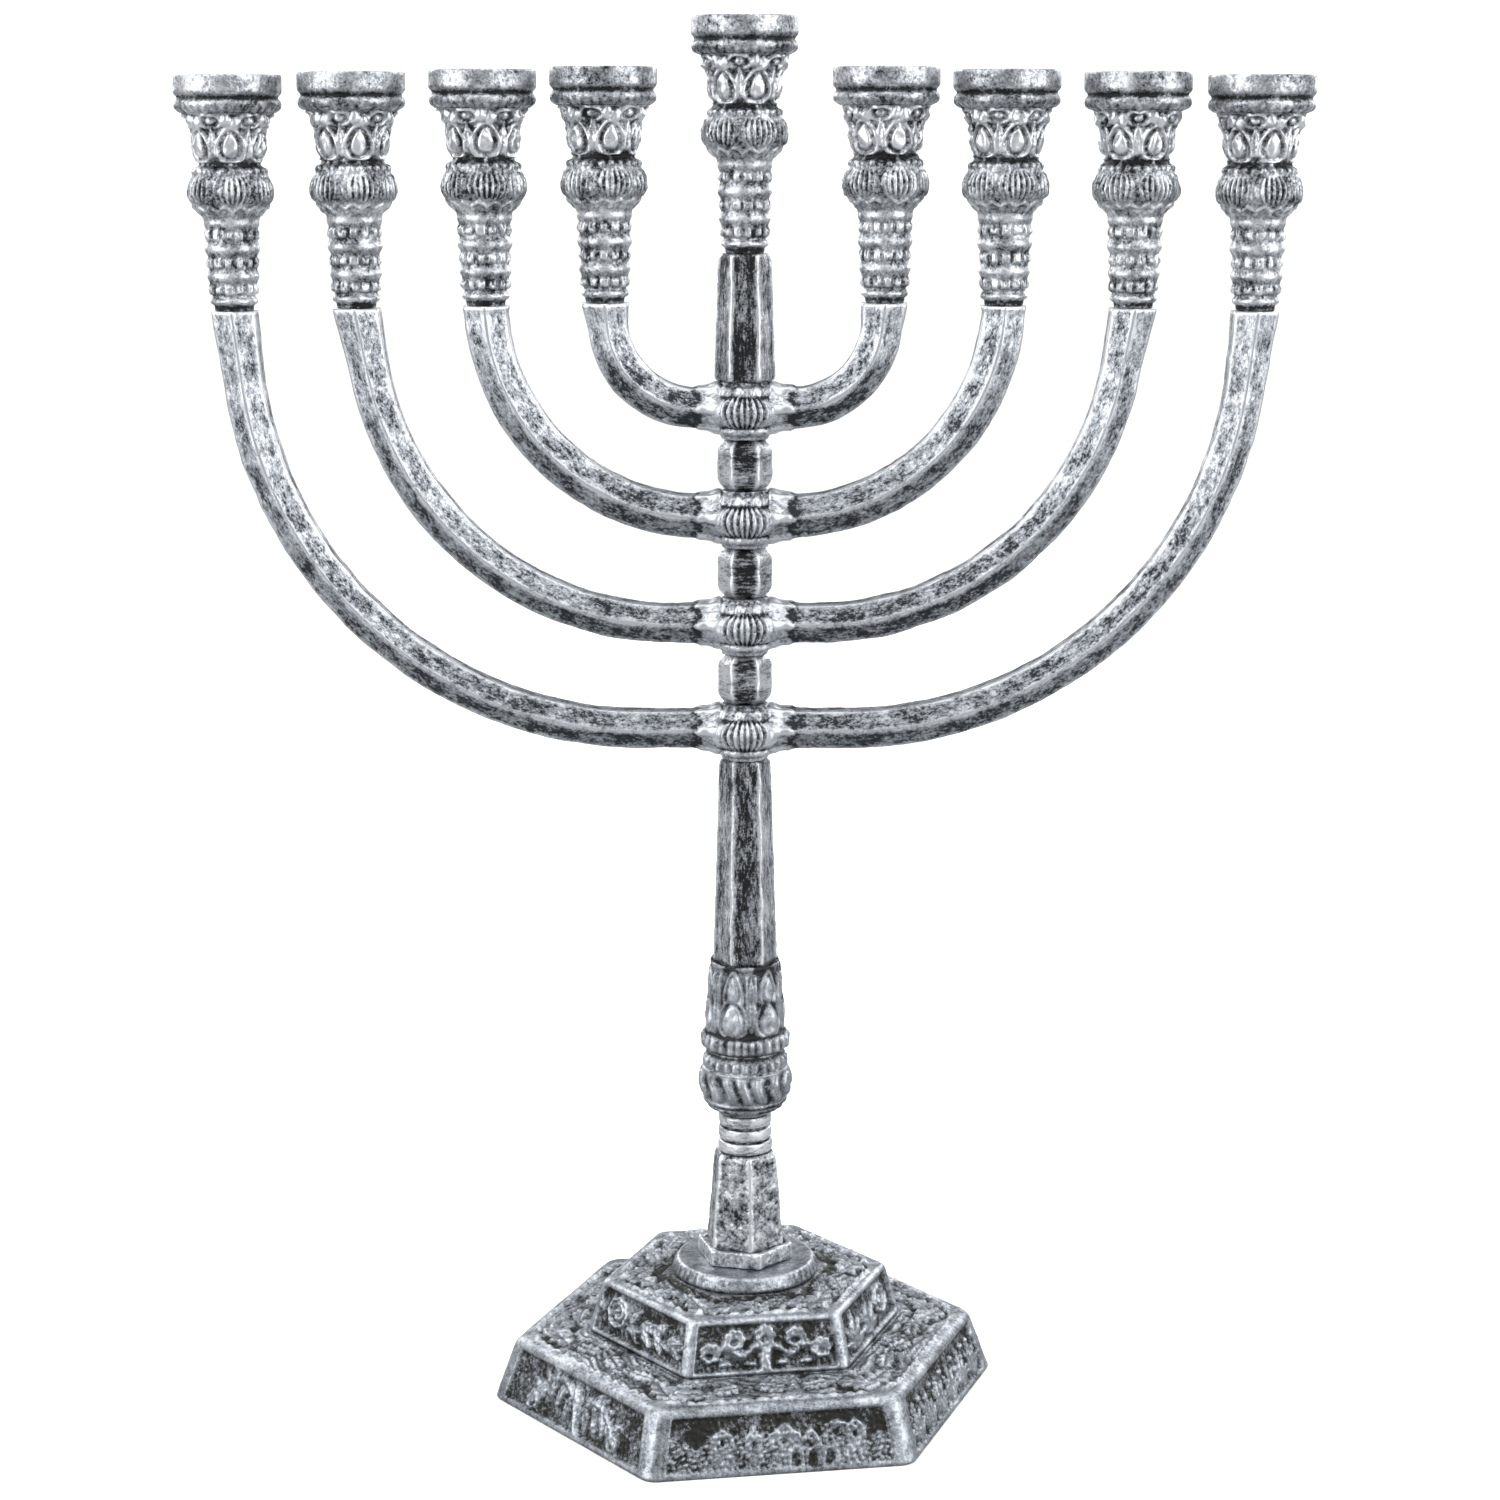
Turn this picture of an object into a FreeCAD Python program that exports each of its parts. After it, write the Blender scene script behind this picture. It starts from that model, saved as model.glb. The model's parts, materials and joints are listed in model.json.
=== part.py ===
import FreeCAD, Part
import os
from math import cos, pi, radians, sin, tan

# Nine-cup candelabrum of cast zinc alloy, plated in antique silver. A hollow six-sided base carries
# a stack of castings, and one steel rod runs up through all of them: the middle cup screws onto its
# top end and a nut draws it tight under the base. Millimetres, +Z up, branches along X, front to -Y,
# origin on the ground under the middle of the rod.

# ---- foot collar, plinth and round plate ----
plinth_turn = -21.0
plinth_foot_radius = 11.1
plinth_top_radius = 8.9
plinth_height = 26.1
foot_turn = -13.0
foot_margin = 2.0
foot_height = 4.4
plate_margin = 5.2
plate_flare = 1.5
plate_height = 4.0
plate_edge = 1.0
seat_depth = 0.9
seat_clearance = 0.15

# ---- base casting: two six-sided tiers with crowned tops, open underneath ----
base_turn = 8.9
tier_1_foot_radius = 68.2
tier_1_taper = 6.1
tier_1_height = 16.8
tier_1_crown = 1.0
tier_2_foot_radius = 42.7
tier_2_taper = 4.2
tier_2_height = 13.9
tier_2_crown = 0.8
tier_1_corner_fillet = 4.0
tier_2_corner_fillet = 2.5
crown_step = 1.4
base_wall = 3.4

# ---- turned collar, lower knop and leaf calyx ----
collar_radius = 7.25
collar_groove_radius = 6.3
collar_height = 10.9
collar_beads = 3
bead_gap = 0.05
lower_knop_radius = 12.7
lower_knop_neck_radius = 10.1
lower_knop_foot_radius = 7.4
lower_knop_height = 17.6
lower_knop_widest = 9.6
lower_knop_foot_height = 3.4
lower_knop_neck_height = 1.8
calyx_lip = 1.3
calyx_foot_radius = 10.6
wreath_radius = 12.1
wreath_height = 4.4
calyx_height = 24.0

# ---- six-sided shafts and barrels ----
tall_shaft_turn = 4.0
tall_shaft_foot_radius = 8.6
tall_shaft_top_radius = 6.9
tall_shaft_height = 55.0
barrel_radius = 7.15
barrel_height = 13.0
upper_shaft_foot_radius = 7.9
upper_shaft_top_radius = 6.8
upper_shaft_height = 31.9
end_chamfer = 0.8

# ---- branch castings: a knop with one arm each way ----
knop_radius = 10.2
knop_neck_radius = 6.1
knop_neck = 2.0
knop_height = 14.6
arm_flats = 9.6
arm_end_flats = 11.4
arm_rise = 0.6
leaf_gap = 0.2
leaf_length = 9.0
leaf_taper = 5.0
# from the innermost pair outwards. gap: between this cup's rim and the next one inwards;
# tip: height of the straight end above the bend; lean: degrees off upright at the arm's top;
# drop: how far the arm's top lies below the innermost arm's top
branches = [
    {"name": "branch_1", "gap": 8.3, "tip": 6.8, "lean": 7.0, "drop": 0.0},
    {"name": "branch_2", "gap": 3.1, "tip": 1.9, "lean": 3.5, "drop": 0.7},
    {"name": "branch_3", "gap": 5.7, "tip": 16.9, "lean": 10.5, "drop": 1.3},
    {"name": "branch_4", "gap": 3.9, "tip": 17.8, "lean": 6.4, "drop": 2.0},
]
arm_top_rise = 19.6

# ---- candle cups: each height is that of one moulding, from the neck up to the rim ----
cup_bore_radius = 11.2
cup_bore_depth = 9.0
cup_wall = 2.25
cup_groove = 0.85
neck_radius = 4.9
neck_height = 1.2
lip_radius = 6.0
lip_height = 2.2
stem_low_radius = 6.1
stem_top_radius = 7.0
stem_height = 20.6
ball_radius = 10.8
ball_height = 10.8
waist_radius = 7.5
waist_height = 4.2
capital_radius = 9.1
capital_height = 5.6
berry_radius = 11.1
berry_height = 4.0
flange_height = 3.8
rim_height = 5.6
moulding_step = 0.5

# ---- tie rod, nut, washer and cup studs ----
rod_radius = 2.5
rod_clearance = 0.3
thread_clearance = 0.05
rod_tail = 3.0
rod_grip = 12.0
nut_flats = 8.0
nut_height = 4.7
washer_radius = 7.5
washer_thickness = 1.2
stud_radius = 2.0
stud_grip = 6.0

axis_up = FreeCAD.Vector(0, 0, 1)
hex_sides = 6
flats_to_corner = 2 / 3 ** 0.5

# sizes that follow from their neighbours
foot_radius = plinth_foot_radius + foot_margin
plate_top_radius = foot_radius + plate_margin
plate_skirt_radius = plate_top_radius + plate_flare
plate_seat_radius = plate_skirt_radius * flats_to_corner + crown_step
tier_1_top_radius = tier_1_foot_radius - tier_1_taper
tier_2_top_radius = tier_2_foot_radius - tier_2_taper
calyx_top_radius = tall_shaft_foot_radius + calyx_lip
leaf_flats = knop_height - 2 * (arm_rise + leaf_gap)
cup_rim_radius = cup_bore_radius + cup_wall
cup_height = (neck_height + lip_height + stem_height + ball_height + waist_height
              + capital_height + berry_height + flange_height + rim_height)

# heights of the joints of the stack, from the ground up
tier_2_bottom = tier_1_height + tier_1_crown
base_height = tier_2_bottom + tier_2_height + tier_2_crown
foot_bottom = base_height + plate_height
foot_top = foot_bottom + foot_height
plinth_bottom = foot_top - seat_depth
collar_bottom = plinth_bottom + plinth_height
lower_knop_bottom = collar_bottom + collar_height
calyx_bottom = lower_knop_bottom + lower_knop_height
tall_shaft_bottom = calyx_bottom + calyx_height - seat_depth
knop_4_bottom = tall_shaft_bottom + tall_shaft_height
knop_pitch = knop_height + barrel_height
upper_shaft_bottom = knop_4_bottom + 3 * knop_pitch + knop_height
shamash_bottom = upper_shaft_bottom + upper_shaft_height
washer_bottom = base_height - base_wall - washer_thickness
nut_bottom = washer_bottom - nut_height

# each branch's number, its cup's distance from the stem and the height of the arm's top
reach = 0
for number, branch in enumerate(branches, start=1):
    reach += 2 * cup_rim_radius + branch["gap"]
    branch["number"] = str(number)
    branch["reach"] = reach
    branch["top"] = upper_shaft_bottom + arm_top_rise - branch["drop"]


def save(name, shape):
    os.makedirs("parts", exist_ok=True)
    shape.exportStep("parts/" + name + ".step")


def hex_wire(radius, z, turn=0.0):
    """Level hexagon, a corner towards +X before it is turned about the upright axis."""
    corners = []
    for side in range(hex_sides):
        angle = radians(turn) + 2 * pi * side / hex_sides
        corners.append(FreeCAD.Vector(radius * cos(angle), radius * sin(angle), z))
    return Part.makePolygon(corners + corners[:1])


def hex_solid(levels, turn=0.0):
    """Stack of six-sided frustums through (radius, height) levels."""
    solid = None
    for (low_radius, low), (high_radius, high) in zip(levels, levels[1:]):
        wires = [hex_wire(low_radius, low, turn), hex_wire(high_radius, high, turn)]
        piece = Part.makeLoft(wires, True, True)
        solid = piece if solid is None else solid.fuse(piece)
    return solid.removeSplitter()


def turned(outline):
    """Solid turned about the upright axis from an outline of (radius, height) corners."""
    points = [FreeCAD.Vector(radius, 0, z) for radius, z in outline]
    face = Part.Face(Part.makePolygon(points + points[:1]))
    return face.revolve(FreeCAD.Vector(0, 0, 0), axis_up, 360)


def cylinder(radius, bottom, height, x=0.0):
    return Part.makeCylinder(radius, height, FreeCAD.Vector(x, 0, bottom), axis_up)


def ring(radius, bead_radius, z):
    """Round bead that runs about the upright axis."""
    return Part.makeTorus(radius - bead_radius, bead_radius, FreeCAD.Vector(0, 0, z), axis_up)


def bored(shape, bottom, height):
    """The same shape with the tie rod's clearance hole through it."""
    return shape.cut(cylinder(rod_radius + rod_clearance, bottom - 1, height + 2))


def corner_edges(shape, low, high):
    """Sloping edges that run the whole way between two heights."""
    edges = []
    for edge in shape.Edges:
        heights = sorted(vertex.Point.z for vertex in edge.Vertexes)
        if abs(heights[0] - low) < 0.01 and abs(heights[-1] - high) < 0.01:
            edges.append(edge)
    return edges


def tier(low_radius, top_radius, bottom, height, fillet):
    """One six-sided tier of the base, with its sloping corners rounded."""
    top = bottom + height
    shape = hex_solid([(low_radius, bottom), (top_radius, top)], base_turn)
    return shape.makeFillet(fillet, corner_edges(shape, bottom, top))


def base_casting():
    """Two tiers with a wall of even thickness, hollow below, bored for the rod."""
    tier_2_top = base_height - tier_2_crown
    lower = tier(tier_1_foot_radius, tier_1_top_radius, 0, tier_1_height, tier_1_corner_fillet)
    crown_1 = [(tier_1_top_radius - crown_step, tier_1_height), (tier_2_foot_radius, tier_2_bottom)]
    upper = tier(tier_2_foot_radius, tier_2_top_radius, tier_2_bottom, tier_2_height, tier_2_corner_fillet)
    crown_2 = [(tier_2_top_radius - crown_step, tier_2_top), (plate_seat_radius, base_height)]
    shape = lower.fuse([hex_solid(crown_1, base_turn), upper, hex_solid(crown_2, base_turn)])
    wall = base_wall * flats_to_corner
    hollow_1 = [
        (tier_1_foot_radius - wall, 0),
        (tier_1_top_radius - wall, tier_1_height - base_wall),
    ]
    hollow_2 = [
        (tier_2_foot_radius - wall, tier_1_height - base_wall),
        (tier_2_top_radius - wall, tier_2_top - base_wall),
        (plate_seat_radius, base_height - base_wall),
    ]
    shape = shape.cut(hex_solid(hollow_1, base_turn)).cut(hex_solid(hollow_2, base_turn))
    return bored(shape, 0, base_height)


def round_plate():
    outline = [
        (0, base_height),
        (plate_skirt_radius, base_height),
        (plate_skirt_radius, base_height + plate_edge),
        (plate_top_radius, foot_bottom),
        (0, foot_bottom),
    ]
    return bored(turned(outline), base_height, plate_height)


def foot_collar():
    levels = [(foot_radius, foot_bottom), (foot_radius, foot_top - end_chamfer)]
    levels.append((foot_radius - end_chamfer, foot_top))
    shape = hex_solid(levels, foot_turn)
    seat_radius = plinth_foot_radius + seat_clearance * flats_to_corner
    seat = hex_solid([(seat_radius, plinth_bottom), (seat_radius, foot_top + 1)], plinth_turn)
    return bored(shape.cut(seat), foot_bottom, foot_height)


def plinth():
    top = plinth_bottom + plinth_height
    levels = [
        (plinth_foot_radius, plinth_bottom),
        (plinth_foot_radius, foot_top),
        (plinth_top_radius, top - end_chamfer),
        (plinth_top_radius - end_chamfer, top),
    ]
    return bored(hex_solid(levels, plinth_turn), plinth_bottom, plinth_height)


def ring_collar():
    shape = cylinder(collar_groove_radius, collar_bottom, collar_height)
    pitch = collar_height / collar_beads
    for bead in range(collar_beads):
        shape = shape.fuse(ring(collar_radius, pitch / 2 - bead_gap, collar_bottom + pitch * (bead + 0.5)))
    return bored(shape, collar_bottom, collar_height)


def lower_knop():
    """Round knop: a stepped foot, a belly that is one arc, and a neck."""
    top = lower_knop_bottom + lower_knop_height
    foot = FreeCAD.Vector(lower_knop_foot_radius, 0, lower_knop_bottom)
    start = FreeCAD.Vector(lower_knop_neck_radius, 0, lower_knop_bottom + lower_knop_foot_height)
    widest_z = lower_knop_bottom + lower_knop_widest
    belly = FreeCAD.Vector(lower_knop_radius, 0, widest_z)
    end = FreeCAD.Vector(lower_knop_neck_radius, 0, top - lower_knop_neck_height)
    neck = FreeCAD.Vector(lower_knop_neck_radius, 0, top)
    low_axis = FreeCAD.Vector(0, 0, lower_knop_bottom)
    top_axis = FreeCAD.Vector(0, 0, top)
    edges = [Part.makeLine(low_axis, foot), Part.makeLine(foot, start)]
    edges.append(Part.Arc(start, belly, end).toShape())
    edges += [Part.makeLine(end, neck), Part.makeLine(neck, top_axis), Part.makeLine(top_axis, low_axis)]
    shape = Part.Face(Part.Wire(edges)).revolve(FreeCAD.Vector(0, 0, 0), axis_up, 360)
    return bored(shape, lower_knop_bottom, lower_knop_height)


def leaf_calyx():
    top = calyx_bottom + calyx_height
    cup = turned([
        (0, calyx_bottom),
        (lower_knop_neck_radius, calyx_bottom),
        (calyx_foot_radius, calyx_bottom + wreath_height / 2),
        (calyx_foot_radius, calyx_bottom + wreath_height),
        (calyx_top_radius, top),
        (0, top),
    ])
    wreath = ring(wreath_radius, wreath_height / 2 - bead_gap, calyx_bottom + wreath_height / 2)
    seat_radius = tall_shaft_foot_radius + seat_clearance * flats_to_corner
    seat = hex_solid([(seat_radius, tall_shaft_bottom), (seat_radius, top + 1)], tall_shaft_turn)
    return bored(cup.fuse(wreath).cut(seat), calyx_bottom, calyx_height)


def tapered_shaft(foot, top_radius, bottom, height, turn):
    """Six-sided shaft with its two ends chamfered."""
    levels = [
        (foot, bottom),
        (top_radius, bottom + height - end_chamfer),
        (top_radius - end_chamfer, bottom + height),
    ]
    return bored(hex_solid(levels, turn), bottom, height)


def barrel(bottom):
    levels = [
        (barrel_radius - end_chamfer, bottom),
        (barrel_radius, bottom + end_chamfer),
        (barrel_radius, bottom + barrel_height - end_chamfer),
        (barrel_radius - end_chamfer, bottom + barrel_height),
    ]
    return bored(hex_solid(levels), bottom, barrel_height)


def arm_section(flats, x, z, slope):
    """Hexagon across an arm: a corner faces front and back, a flat faces in and out.

    slope is the arm's direction above level, in degrees.
    """
    radius = flats * flats_to_corner / 2
    corners = []
    for side in range(hex_sides):
        angle = pi / 2 + 2 * pi * side / hex_sides
        across = radius * cos(angle)
        x_corner = x - across * sin(radians(slope))
        z_corner = z + across * cos(radians(slope))
        corners.append(FreeCAD.Vector(x_corner, radius * sin(angle), z_corner))
    return Part.makePolygon(corners + corners[:1])


def arm_shape(branch, start_z):
    """One arm from the stem axis out to +X: straight run, round bend, then a flaring straight end."""
    slope = 90 - branch["lean"]
    top = branch["top"]
    bend_end_z = top - branch["tip"]
    bend_end_x = branch["reach"] - branch["tip"] / tan(radians(slope))
    bend = (bend_end_z - start_z) / (1 - cos(radians(slope)))
    bend_start_x = bend_end_x - bend * sin(radians(slope))
    root = arm_section(arm_flats, 0, start_z, 0)
    bend_start = arm_section(arm_flats, bend_start_x, start_z, 0)
    run = Part.makeLoft([root, bend_start], True, True)
    centre = FreeCAD.Vector(bend_start_x, 0, start_z + bend)
    curve = Part.Face(bend_start).revolve(centre, FreeCAD.Vector(0, -1, 0), slope)
    bend_end = arm_section(arm_flats, bend_end_x, bend_end_z, slope)
    tip = Part.makeLoft([bend_end, arm_section(arm_end_flats, branch["reach"], top, 90)], True, True)
    leaf_end = arm_section(leaf_flats, leaf_length, start_z, 0)
    leaf = Part.makeLoft([arm_section(leaf_flats, 0, start_z, 0), leaf_end], True, True)
    leaf_point = arm_section(arm_flats, leaf_length + leaf_taper, start_z, 0)
    leaf_tip = Part.makeLoft([leaf_end, leaf_point], True, True)
    shape = run.fuse([curve, tip, leaf, leaf_tip])
    stud_hole = cylinder(stud_radius + thread_clearance, top - stud_grip, stud_grip + 1, branch["reach"])
    return shape.cut(stud_hole)


def branch_casting(branch, bottom):
    """Ball knop with a short neck above and below, and the pair of arms that grows out of it."""
    middle = bottom + knop_height / 2
    arm = arm_shape(branch, middle + arm_rise)
    other = arm.mirror(FreeCAD.Vector(0, 0, 0), FreeCAD.Vector(1, 0, 0))
    neck = cylinder(knop_neck_radius, bottom, knop_height)
    ball = Part.makeSphere(knop_radius, FreeCAD.Vector(0, 0, middle))
    ball = ball.common(cylinder(knop_radius + 1, bottom + knop_neck, knop_height - 2 * knop_neck))
    shape = neck.fuse([ball, arm, other])
    return bored(shape, bottom, knop_height)


def cup_outline():
    """Half section of a cup: each pair of corners is the foot and the head of one moulding."""
    lip = neck_height
    stem = lip + lip_height
    ball = stem + stem_height
    waist = ball + ball_height
    capital = waist + waist_height
    berry = capital + capital_height
    flange = berry + berry_height
    rim = flange + flange_height
    groove_radius = cup_rim_radius - cup_groove
    return [
        (0, 0),
        (neck_radius, 0),
        (neck_radius, lip),
        (lip_radius, lip + moulding_step),
        (lip_radius, stem - moulding_step),
        (stem_low_radius - moulding_step, stem),
        (stem_low_radius, stem + 2 * moulding_step),
        (stem_low_radius, stem + stem_height / 3),
        (stem_top_radius, ball - 2 * moulding_step),
        (stem_top_radius + moulding_step, ball),
        (ball_radius, ball + ball_height / 3),
        (ball_radius, ball + ball_height * 2 / 3),
        ((ball_radius + waist_radius) / 2, waist),
        (waist_radius, waist + waist_height / 3),
        (waist_radius, waist + waist_height * 2 / 3),
        (capital_radius, capital),
        (capital_radius, capital + capital_height * 2 / 3),
        (berry_radius, berry),
        (berry_radius, flange - 2 * moulding_step),
        (cup_rim_radius, flange + moulding_step),
        (cup_rim_radius, flange + flange_height / 2),
        (groove_radius, rim - 2 * moulding_step),
        (groove_radius, rim - moulding_step),
        (cup_rim_radius, rim),
        (cup_rim_radius, rim + rim_height),
        (0, rim + rim_height),
    ]


def cup(bottom, x, hole_radius, hole_depth):
    """Candle cup: round solid with the candle bore above and a screw hole below."""
    shape = turned(cup_outline())
    bore_bottom = cup_height - cup_bore_depth
    shape = shape.cut(cylinder(cup_bore_radius, bore_bottom, cup_bore_depth + 1))
    shape = shape.cut(cylinder(hole_radius + thread_clearance, -1, hole_depth + 1))
    shape.translate(FreeCAD.Vector(x, 0, bottom))
    return shape


def tie_rod():
    bottom = nut_bottom - rod_tail
    return cylinder(rod_radius, bottom, shamash_bottom + rod_grip - bottom)


def rod_nut():
    radius = nut_flats * flats_to_corner / 2
    shape = hex_solid([(radius, nut_bottom), (radius, washer_bottom)])
    return shape.cut(cylinder(rod_radius + thread_clearance, nut_bottom - 1, nut_height + 2))


def rod_washer():
    shape = cylinder(washer_radius, washer_bottom, washer_thickness)
    return shape.cut(cylinder(rod_radius + rod_clearance, washer_bottom - 1, washer_thickness + 2))


def cup_studs():
    studs = []
    for branch in branches:
        for side in (-1, 1):
            bottom = branch["top"] - stud_grip
            studs.append(cylinder(stud_radius, bottom, 2 * stud_grip, side * branch["reach"]))
    return Part.makeCompound(studs)


save("base_casting", base_casting())
save("round_plate", round_plate())
save("foot_collar", foot_collar())
save("plinth", plinth())
save("ring_collar", ring_collar())
save("lower_knop", lower_knop())
save("leaf_calyx", leaf_calyx())
save("tall_shaft", tapered_shaft(tall_shaft_foot_radius, tall_shaft_top_radius,
                                 tall_shaft_bottom, tall_shaft_height, tall_shaft_turn))
save("upper_shaft", tapered_shaft(upper_shaft_foot_radius, upper_shaft_top_radius,
                                  upper_shaft_bottom, upper_shaft_height, 0.0))
for step, branch in enumerate(reversed(branches)):
    knop_bottom = knop_4_bottom + step * knop_pitch
    save(branch["name"], branch_casting(branch, knop_bottom))
    if step > 0:
        save("barrel_" + branch["number"], barrel(knop_bottom - barrel_height))
for branch in branches:
    save("cup_left_" + branch["number"], cup(branch["top"], -branch["reach"], stud_radius, stud_grip))
    save("cup_right_" + branch["number"], cup(branch["top"], branch["reach"], stud_radius, stud_grip))
save("cup_shamash", cup(shamash_bottom, 0, rod_radius, rod_grip))
save("tie_rod", tie_rod())
save("rod_nut", rod_nut())
save("rod_washer", rod_washer())
save("cup_studs", cup_studs())
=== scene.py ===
import json
import math
import bpy
import numpy as np
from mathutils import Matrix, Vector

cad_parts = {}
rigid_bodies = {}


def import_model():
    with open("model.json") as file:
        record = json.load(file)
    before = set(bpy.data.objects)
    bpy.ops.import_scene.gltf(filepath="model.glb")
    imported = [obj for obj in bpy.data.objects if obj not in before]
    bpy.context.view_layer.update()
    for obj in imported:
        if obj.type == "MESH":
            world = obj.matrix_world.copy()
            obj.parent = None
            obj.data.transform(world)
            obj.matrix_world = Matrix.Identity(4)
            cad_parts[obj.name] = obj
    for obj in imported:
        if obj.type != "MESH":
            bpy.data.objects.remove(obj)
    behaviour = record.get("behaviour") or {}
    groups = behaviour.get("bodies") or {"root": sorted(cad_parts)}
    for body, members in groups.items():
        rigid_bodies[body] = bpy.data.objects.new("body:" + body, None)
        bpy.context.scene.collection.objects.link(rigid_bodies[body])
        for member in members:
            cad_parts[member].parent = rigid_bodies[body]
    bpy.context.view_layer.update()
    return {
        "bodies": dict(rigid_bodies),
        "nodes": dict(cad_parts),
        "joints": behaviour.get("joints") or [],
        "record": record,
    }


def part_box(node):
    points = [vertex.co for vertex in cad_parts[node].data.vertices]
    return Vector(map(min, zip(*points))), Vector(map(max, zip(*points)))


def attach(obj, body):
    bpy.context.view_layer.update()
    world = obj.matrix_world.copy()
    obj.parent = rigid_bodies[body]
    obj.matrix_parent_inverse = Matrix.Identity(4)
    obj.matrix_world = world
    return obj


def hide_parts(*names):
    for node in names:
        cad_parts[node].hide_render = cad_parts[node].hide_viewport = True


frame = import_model()
print("frame loaded:", len(frame["nodes"]), "nodes")

millimetre = 0.001
fullTurn = 2 * math.pi
hexSides = 6
flatReach = math.tan(math.pi / hexSides)  # half a side of a hexagon whose flats are 1 from its middle
cornerReach = 1 / math.cos(math.pi / hexSides)  # and how far its corners are
rodBore = 2.8  # radius of the rod's hole, which runs through every casting of the stack
boreEdge = 3.2  # nothing nearer the axis than this is on show


# where the frame puts things, in millimetres
def span(node):
    low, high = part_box(node)
    return np.array(low) / millimetre, np.array(high) / millimetre


def bottomOf(node):
    return span(node)[0][2]


def topOf(node):
    return span(node)[1][2]


# small shapes of height, all on whole arrays, lengths in mm
def ridge(distance, width):
    # round-topped line: e^-(distance/width)^2
    return np.exp(-(distance / width) ** 2)


def rise(value, edge, soft):
    # 0 below the edge, 1 above it, over about twice soft
    return 0.5 + 0.5 * np.tanh((value - edge) / soft)


def band(value, low, high, soft):
    # 1 between two levels, 0 outside them
    return rise(value, low, soft) * (1 - rise(value, high, soft))


def dome(across, up, halfWidth, halfHeight):
    # upper half of an ellipsoid, 1 at its middle and 0 outside
    return np.sqrt(np.clip(1 - (across / halfWidth) ** 2 - (up / halfHeight) ** 2, 0, 1))


def eggRadius(across, up, halfWidth, halfHeight, taper):
    # 1 on an egg's outline, 0 at its middle; taper narrows its upper end
    width = halfWidth * np.clip(1 - taper * up / halfHeight, 0.2, 2)
    return np.hypot(across / width, up / halfHeight)


def highest(*shapes):
    # several shapes cast in one surface: the highest shows at each point
    return np.maximum.reduce(np.broadcast_arrays(*shapes))


def wrapped(angle, repeats):
    # angle from the nearest of several evenly spaced directions
    pitch = fullTurn / repeats
    return (angle + pitch / 2) % pitch - pitch / 2


def ripple(x, y, z, size, seed, waves=14):
    # sum of plane waves in random directions, each about size long; roughly -1 to 1
    random = np.random.default_rng(seed)
    total = np.zeros(np.broadcast(x, y, z).shape)
    for wave in range(waves):
        direction = random.normal(size=3)
        direction *= fullTurn / (size * random.uniform(0.7, 1.5)) / np.linalg.norm(direction)
        phase = random.uniform(0, fullTurn)
        total += np.sin(direction[0] * x + direction[1] * y + direction[2] * z + phase)
    return total / math.sqrt(waves / 2) / 1.6


def turnedRipple(angle, radius, height, size, seed):
    # the same waves, read round the upright axis
    return ripple(radius * np.cos(angle), radius * np.sin(angle), height, size, seed)


def leafBlade(across, up, length, halfWidth):
    # pointed leaf that grows along up from 0: full sides, sunk midrib, slanting veins
    share = np.clip(up / length, 0, 1)
    edge = halfWidth * np.sin(math.pi * share ** 0.8) * (1 - 0.25 * share) + 0.01
    inside = np.clip(1 - (across / edge) ** 2, 0, 1) * ((up > 0) & (up < length))
    vein = 0.3 * ridge(across, halfWidth * 0.14) + 0.12 * (0.5 + 0.5 * np.sin((up - np.abs(across)) * 5))
    return np.sqrt(inside) * (1 - vein)


def turnedAxes(across, up, centreAcross, centreUp, degrees):
    # the same point, seen from axes moved to a centre and turned
    angle = math.radians(degrees)
    a = across - centreAcross
    b = up - centreUp
    return a * math.cos(angle) + b * math.sin(angle), b * math.cos(angle) - a * math.sin(angle)


def oakLeaf(across, up, length, halfWidth):
    # long leaf with lobed sides, grown along up from 0: full rims, sunk midrib and side veins
    share = np.clip(up / length, 0, 1)
    lobes = 0.76 + 0.24 * np.cos(share * fullTurn * 3.5 + 0.6)
    edge = halfWidth * np.sin(math.pi * np.clip(share, 0.001, 0.999)) ** 0.6 * lobes
    body = rise(edge - np.abs(across), 0, 0.28) * ((up > 0) & (up < length))
    full = 0.72 + 0.28 * np.clip(np.abs(across) / np.maximum(edge, 0.1), 0, 1)
    vein = 0.5 * ridge(across, 0.35) + 0.3 * ridge(np.sin(share * math.pi * 3.5 - np.abs(across) * 0.5), 0.25)
    return body * full * (1 - np.clip(vein, 0, 0.6))


# profiles, grids and the meshes made from them
def roundedPath(corners, spacing):
    # corners are (radius, height, rounding); each one becomes a parabola that starts and ends its
    # rounding away from the corner, and the whole path is walked in even steps
    points = np.array([corner[:2] for corner in corners], float)
    path = [points[:1]]
    share = np.linspace(0, 1, 9)[:, None]
    for i in range(1, len(points) - 1):
        here = points[i]
        ends = []
        for other in (points[i - 1] - here, points[i + 1] - here):
            length = np.linalg.norm(other)
            ends.append(here + other / length * min(corners[i][2], 0.48 * length))
        path.append((1 - share) ** 2 * ends[0] + 2 * share * (1 - share) * here + share ** 2 * ends[1])
    path = np.concatenate(path + [points[-1:]])
    steps = np.hypot(*np.diff(path, axis=0).T)
    path = path[np.concatenate([[True], steps > 1e-6])]
    walked = np.concatenate([[0], np.cumsum(np.hypot(*np.diff(path, axis=0).T))])
    even = np.linspace(0, walked[-1], max(3, int(round(walked[-1] / spacing)) + 1))
    return np.stack([np.interp(even, walked, path[:, 0]), np.interp(even, walked, path[:, 1])], axis=1)


def boredPath(corners, spacing, boreSpacing=2.0):
    # an outside that starts and ends on the rod's hole, closed by the hole's own straight wall
    wall = roundedPath([corners[-1], corners[0]], boreSpacing)
    return np.concatenate([roundedPath(corners, spacing), wall[1:-1]])


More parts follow.
